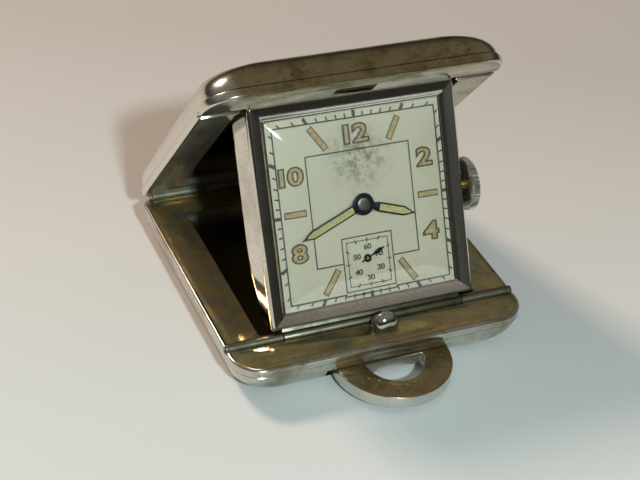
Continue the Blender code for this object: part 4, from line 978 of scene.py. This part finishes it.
def round_a_square(tree, given, turn, sine, cosine):
    """Marks that stand on a square's sides, each pointing away from its centre."""
    parts = (sine, cosine)
    wide, tall = [add(tree, "ShaderNodeMath", {0: part}, operation="ABSOLUTE") for part in parts]
    most = add(tree, "ShaderNodeMath", {0: wide, 1: tall}, operation="MAXIMUM")
    edge = add(tree, "ShaderNodeMath", {0: given["Reach"], 1: most}, operation="DIVIDE")
    middle = add(tree, "ShaderNodeMath", {0: given["Length"], 1: 0.5, 2: edge}, operation="MULTIPLY_ADD")
    x, y = [add(tree, "ShaderNodeMath", {0: part, 1: middle}, operation="MULTIPLY") for part in parts]
    spot = add(tree, "ShaderNodeCombineXYZ", {"X": x, "Y": y})
    size = add(tree, "ShaderNodeCombineXYZ", {0: given["Width"], 1: given["Length"], 2: given["Height"]})
    back = add(tree, "ShaderNodeMath", {0: turn, 1: -1.0}, operation="MULTIPLY")
    return spot, size, add(tree, "ShaderNodeCombineXYZ", {"Z": back})


def round_a_crown(tree, given, turn, sine, cosine):
    """Ribs that lie along a crown's axis, one edge outward."""
    y, z = [add(tree, "ShaderNodeMath", {0: part, 1: given["Reach"]}, operation="MULTIPLY")
            for part in (cosine, sine)]
    spot = add(tree, "ShaderNodeCombineXYZ", {"X": given["Along"], "Y": y, "Z": z})
    size = add(tree, "ShaderNodeCombineXYZ", {0: given["Length"], 1: given["Width"], 2: given["Width"]})
    tilt = add(tree, "ShaderNodeMath", {0: turn, 1: pi / 4}, operation="ADD")
    return spot, size, add(tree, "ShaderNodeCombineXYZ", {"X": tilt})


def dial_marks():
    """Minute marks, five-minute blocks and the marks of the seconds dial."""
    tree = ring_tree("marks_round_a_square", ("Reach", "Length", "Width", "Height"), round_a_square)
    rows = (
        ("minute_marks", print_centre, 60, track_half, 0.7, 0.23),
        ("five_minute_marks", print_centre, 12, track_half, 1.0, 0.5),
        ("seconds_marks", seconds_centre, 12, seconds_inner_half - 0.3, 0.62, 0.18),
    )
    thick = ink_high - ink_low
    for name, centre, count, reach, length, width in rows:
        made = grow(name, tree, bmesh.new(), print_ink, {"Count": count, "Reach": reach, "Length": length,
                                                         "Width": width, "Height": thick})
        made.data.transform(Matrix.Translation((centre.x, centre.y, ink_low + thick / 2)))
        mount(made, WATCH, "watch", "dial")


def blued_blade(name, outlines, low, edge, centre, angle):
    """Outlines joined into one blued blade, turned about its post, and the space that it lies in."""
    shape = bmesh.new()
    for outline in outlines:
        pushed(outline, low, low + hand_thickness, shape=shape)
    space = WATCH @ Matrix.Translation((*centre, 0)) @ Matrix.Rotation(radians(angle), 4, "Z")
    return soften(make(name, shape, blued_steel), edge), space


def hand(name, body, angle, low, length, half, neck, shoulder, tip, window):
    """A blued pencil hand with its hub, and its window of luminous paint.
    half and neck are half widths, shoulder and tip are where the blade's straight sides start and end, and
    window gives the paint's start, the end of its straight sides, its half width and its point."""
    start = 0.8
    hub = 0.95
    edge = 0.035
    sunk = 0.04
    proud = 0.03
    right = [(neck, start), (half, shoulder), (half, tip), (0.12, length - 0.5), (0.05, length)]
    outlines = (mirrored(right), circle(hub, 48))
    blade, space = blued_blade(name + "_frame", outlines, low, edge, (0, dial_rise), angle)
    mount(blade, space, body, "hand", name)
    low_end, high_end, wide, point = window
    inlay = mirrored([(wide, low_end), (wide, high_end), (0.08, point)])
    high = low + hand_thickness
    paint = make(name + "_lume", pushed(inlay, high - sunk, high + proud), hand_lume)
    mount(soften(paint, 0.02), space, body, "hand")


def hands():
    """Hour, minute and seconds hands, with the domed boss over the centre."""
    hand("hour_hand", "hour", angle=-108, low=dial_face + 0.34, length=8.5, half=0.7, neck=0.23,
         shoulder=2.45, tip=6.6, window=(2.7, 6.5, 0.46, 7.6))
    hand("minute_hand", "centre", angle=111.2, low=dial_face + 0.56, length=10.4, half=0.64, neck=0.55,
         shoulder=1.5, tip=8.6, window=(1.7, 8.5, 0.44, 9.5))
    leaf = mirrored([(0.12, 0.4), (0.13, 1.0), (0.3, 1.5), (0.34, 2.1), (0.06, 2.95)])
    tail = mirrored([(0.14, -0.4), (0.1, -1.03)])
    outlines = (leaf, tail, circle(0.6, 40))
    second, space = blued_blade("seconds_hand_leaf", outlines, low=dial_face + 0.08, edge=0.03,
                                centre=(0, dial_rise - seconds_drop), angle=-66.2)
    mount(second, space, "seconds", "blued", "seconds_hand")
    profile = ((0.81, 0.3), (0.81, 1.56), (0.84, 1.6), (0.88, 1.58), (0.92, 1.5), (0.945, 1.35),
               (0.94, 1.1), (0.92, 0.98), (0.94, 0.9), (0.985, 0.78), (1.01, 0.55), (1.025, 0.3),
               (1.03, 0.06))
    boss = make("centre_boss_dome", turned(profile, (0, dial_rise), "z", 56), boss_steel)
    mount(boss, WATCH, "centre", "blued", "centre_boss", crease=50)


def crown():
    """Ribbed crown with a domed face."""
    ribs = 44
    rib_length = 0.95
    rib_width = 0.34
    low = crown_reach - 1.33
    inner = crown_radius - 0.2
    domed = ((0.34, 0), (0.26, 0.1), (0.2, 0.3), (0.12, 0.8), (0.05, 1.7))
    profile = [(low, 0.5), (low, inner - 0.35), (low + 0.06, inner - 0.15), (low + 0.16, inner),
               *[(crown_reach - back, inner - drop) for back, drop in domed],
               (crown_reach, 0.6), (crown_reach, 0.1)]
    tree = ring_tree("ribs_round_a_crown", ("Reach", "Along", "Length", "Width"), round_a_crown, parts=4)
    made = grow("ribbed_crown", tree, turned(profile, count=2 * ribs), crown_steel,
                {"Count": ribs, "Reach": inner - seat, "Along": (low + 0.2 + crown_reach - 0.3) / 2,
                 "Length": rib_length, "Width": rib_width})
    made.data.transform(Matrix.Translation((0, dial_rise, crown_depth)))
    mount(made, WATCH, "crown", "polished_steel", "crown", crease=30)


# Catch and bail

def bail():
    """The D-shaped bail with its finger hole, and the tongue under the shell's wall."""
    centre_y = bail_setback - shell_depth / 2
    tongue_y = centre_y + bail_tongue

    def front_half(wide, deep, middle, steps):
        """The front half of an oval, from left to right."""
        turns = [pi + pi * i / steps for i in range(steps + 1)]
        return [(bail_side + wide * cos(turn), middle + deep * sin(turn)) for turn in turns]

    hole_half = 4.35
    hole_depth = 4.7
    hole_shift = 0.4
    outline = front_half(bail_radius, bail_radius, centre_y, 64)
    outline += [(bail_side + bail_radius, tongue_y), (bail_side - bail_radius, tongue_y)]
    piece = make("sliding_bail", pushed(outline, bail_rise, bail_rise + bail_thickness), bail_steel)
    hole = front_half(hole_half, hole_depth, centre_y - hole_shift, 40)
    carve(piece, pushed(hole, bail_rise - past, bail_rise + bail_thickness + past))
    soften(piece, 0.14, segments=3, angle=40)
    mount(piece, TABLE, "catch", "bail_steel", "bail")


def hook():
    """The hook's polished dome on its riser, with the plate that the rivets hold."""
    hook_y = watch_axis - hook_setback
    plate_low = bail_rise + bail_thickness + seat
    plate_high = plate_low + catch_plate_thickness
    plate_front = 1.25 - shell_depth / 2
    plate_rear = hook_y + 0.7
    lug_width = 0.5
    lug_rise = 1.2
    sunk = 0.2
    neck_depth = 0.6
    neck_half = 1.9
    neck_step = 0.35
    neck_low = rim_height - neck_step
    neck_top = rim_height + 0.7
    left = hook_side - neck_half
    right = hook_side + neck_half
    neck = ((left, plate_high - sunk), (right, plate_high - sunk), (right, neck_low),
            (right - neck_step, rim_height), (right - neck_step, neck_top), (left, neck_top))
    piece = make("catch_hook_dome", pushed(neck, hook_y - neck_depth, hook_y + neck_depth, "y"),
                 hook_steel)
    soften(piece, 0.08)
    shape = bmesh.new()
    shape.from_mesh(piece.data)
    slices = 25
    dome_half = 1.95
    dome_wall = 0.9
    dome_rise = 1.7
    dome_depth = 1.35
    shift = 0.1
    middle = hook_side + shift
    base = rim_height + seat
    rings = []
    for i in range(slices):
        turn = pi * (i + 0.5) / slices
        girth = sin(turn) ** 0.6
        y = hook_y - shift - dome_depth * cos(turn)
        arch = [(a, base + (dome_wall + dome_rise * b) * girth) for a, b in circle(1.0, 48)[:25]]
        rings.append([(middle + dome_half * girth * a, y, z) for a, z in ((1, base), *arch, (-1, base))])
    skin(rings, shape=shape)
    plate_left = hook_side - catch_plate_half
    plate_right = hook_side + catch_plate_half
    block((plate_left, plate_front, plate_low), (plate_right, plate_rear, plate_high), shape)
    # The lug on the plate's left end takes the push of the spring
    lug_low = (plate_left, plate_front, plate_high - sunk)
    block(lug_low, (plate_left + lug_width, plate_rear, plate_high + lug_rise), shape)
    bmesh.ops.recalc_face_normals(shape, faces=shape.faces)
    shape.to_mesh(piece.data)
    shape.free()
    mount(piece, TABLE, "catch", "polished_steel", "catch_hook")


def spring():
    """The catch's coil spring, which gets shorter as the catch slides."""
    coil = 0.55
    wire = 0.1
    length = 5.5
    turns = 7
    per_turn = 24
    room = 0.1
    left = hook_side - catch_plate_half - room - length
    middle_y = bail_setback - shell_depth / 2 + bail_tongue + coil + wire
    middle_z = bail_rise + bail_thickness + seat + catch_plate_thickness + coil + wire + room
    count = turns * per_turn
    rings = []
    for i in range(count + 1):
        turn = 2 * pi * i / per_turn
        along = left + wire + (length - 2 * wire) * i / count
        rings.append([(along + wire * b, middle_y + (coil + wire * a) * cos(turn),
                       middle_z + (coil + wire * a) * sin(turn)) for a, b in circle(1.0, 10)])
    piece = make("catch_coil_spring", skin(rings), movement_steel)
    mount(piece, TABLE, "base", "steel", "catch_spring", crease=60)
    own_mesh(piece)


def keep_nodes():
    """Hidden pieces keep their CAD shape and get a real finish."""
    brass = ("movement_ring", "main_plate", "train_bridge", "balance_cock", "centre_wheel", "third_wheel",
             "fourth_wheel", "mainspring_barrel", "balance_wheel", "stem_tube", "catch_rivet_left",
             "catch_rivet_right", "spring_stop")
    steel = ("stem", "setting_lever", "escape_wheel", "pallet_fork", "ratchet_wheel", "crown_wheel")
    blued = ("hairspring", "mainspring", "bridge_screw_1", "bridge_screw_2", "bridge_screw_3")
    for names, finish in ((brass, movement_brass), (steel, movement_steel), (blued, blued_steel),
                          (("dial",), dial_lacquer())):
        for name in names:
            node = frame["nodes"][name]
            node.data.materials.clear()
            node.data.materials.append(finish)


lower_case()
lid_case()
hinges()
head_case()
bezel()
crystal()
dial_lines()
dial_numerals()
dial_marks()
hands()
crown()
bail()
hook()
spring()
keep_nodes()


# Table, lamps and camera

def studio():
    """A pale table, a small cool lamp in front and a larger warm one behind on the left."""
    front_left = (-900, -150, -20)
    rear_right = (900, 900, 0)
    top = make("table", block(front_left, rear_right), table_laminate())
    place(top, TABLE, 38)
    lamps = (
        ("cool_lamp", (-0.083, -0.715, 0.561), 0.048, 5.3, "#e3f8ff"),
        ("warm_lamp", (-0.287, 0.517, 0.583), 0.17, 3.6, "#ffe2cf"),
    )
    target = Vector((0, 0, 0.012))
    for name, spot, size, power, shade in lamps:
        lamp = bpy.data.lights.new(name, "AREA")
        lamp.size = size
        lamp.energy = power
        lamp.color = colour(shade)[:3]
        holder = bpy.data.objects.new(name, lamp)
        holder.location = spot
        holder.rotation_euler = (target - Vector(spot)).to_track_quat("-Z", "Y").to_euler()
        bpy.context.scene.collection.objects.link(holder)
    world = bpy.data.worlds.new("room")
    world.use_nodes = True
    tree = world.node_tree
    tree.nodes.clear()
    sky = add(tree, "ShaderNodeTexCoord").outputs["Generated"]
    axes = add(tree, "ShaderNodeSeparateXYZ", {"Vector": sky})
    shade = add(tree, "ShaderNodeValToRGB", {"Fac": axes.outputs["Z"]},
                stops=((0.05, colour("#2e2c29")), (0.3, colour("#3f403c")), (0.58, colour("#75736c")),
                       (1.0, colour("#8b8881"))))
    light = add(tree, "ShaderNodeBackground", {"Color": shade})
    add(tree, "ShaderNodeOutputWorld", {"Surface": light})
    bpy.context.scene.world = world


def camera():
    """The photograph's camera: left of the front, looking down, rolled a little."""
    turn = radians(-26.66)
    rise = radians(36.2)
    roll = radians(5.8706)
    aim = Vector((0, -7.7, 10.0))
    distance = 222.193
    aside = -4.8007
    raised = 3.2843
    back = Vector((sin(turn) * cos(rise), -cos(turn) * cos(rise), sin(rise)))
    right = Vector((0, 0, 1)).cross(back).normalized()
    up = back.cross(right)
    across = cos(roll) * right + sin(roll) * up
    above = cos(roll) * up - sin(roll) * right
    spot = aim + distance * back + aside * across + raised * above
    lens = bpy.data.cameras.new("camera")
    lens.sensor_width = 36.0
    lens.lens = 86.516
    lens.clip_start = 0.01
    lens.clip_end = 10.0
    holder = bpy.data.objects.new("camera", lens)
    axes = Matrix((across, above, back)).transposed()
    holder.matrix_world = Matrix.Translation(spot * MM) @ axes.to_4x4()
    bpy.context.scene.collection.objects.link(holder)
    bpy.context.scene.camera = holder


studio()
camera()
bpy.context.scene.view_settings.view_transform = "Standard"
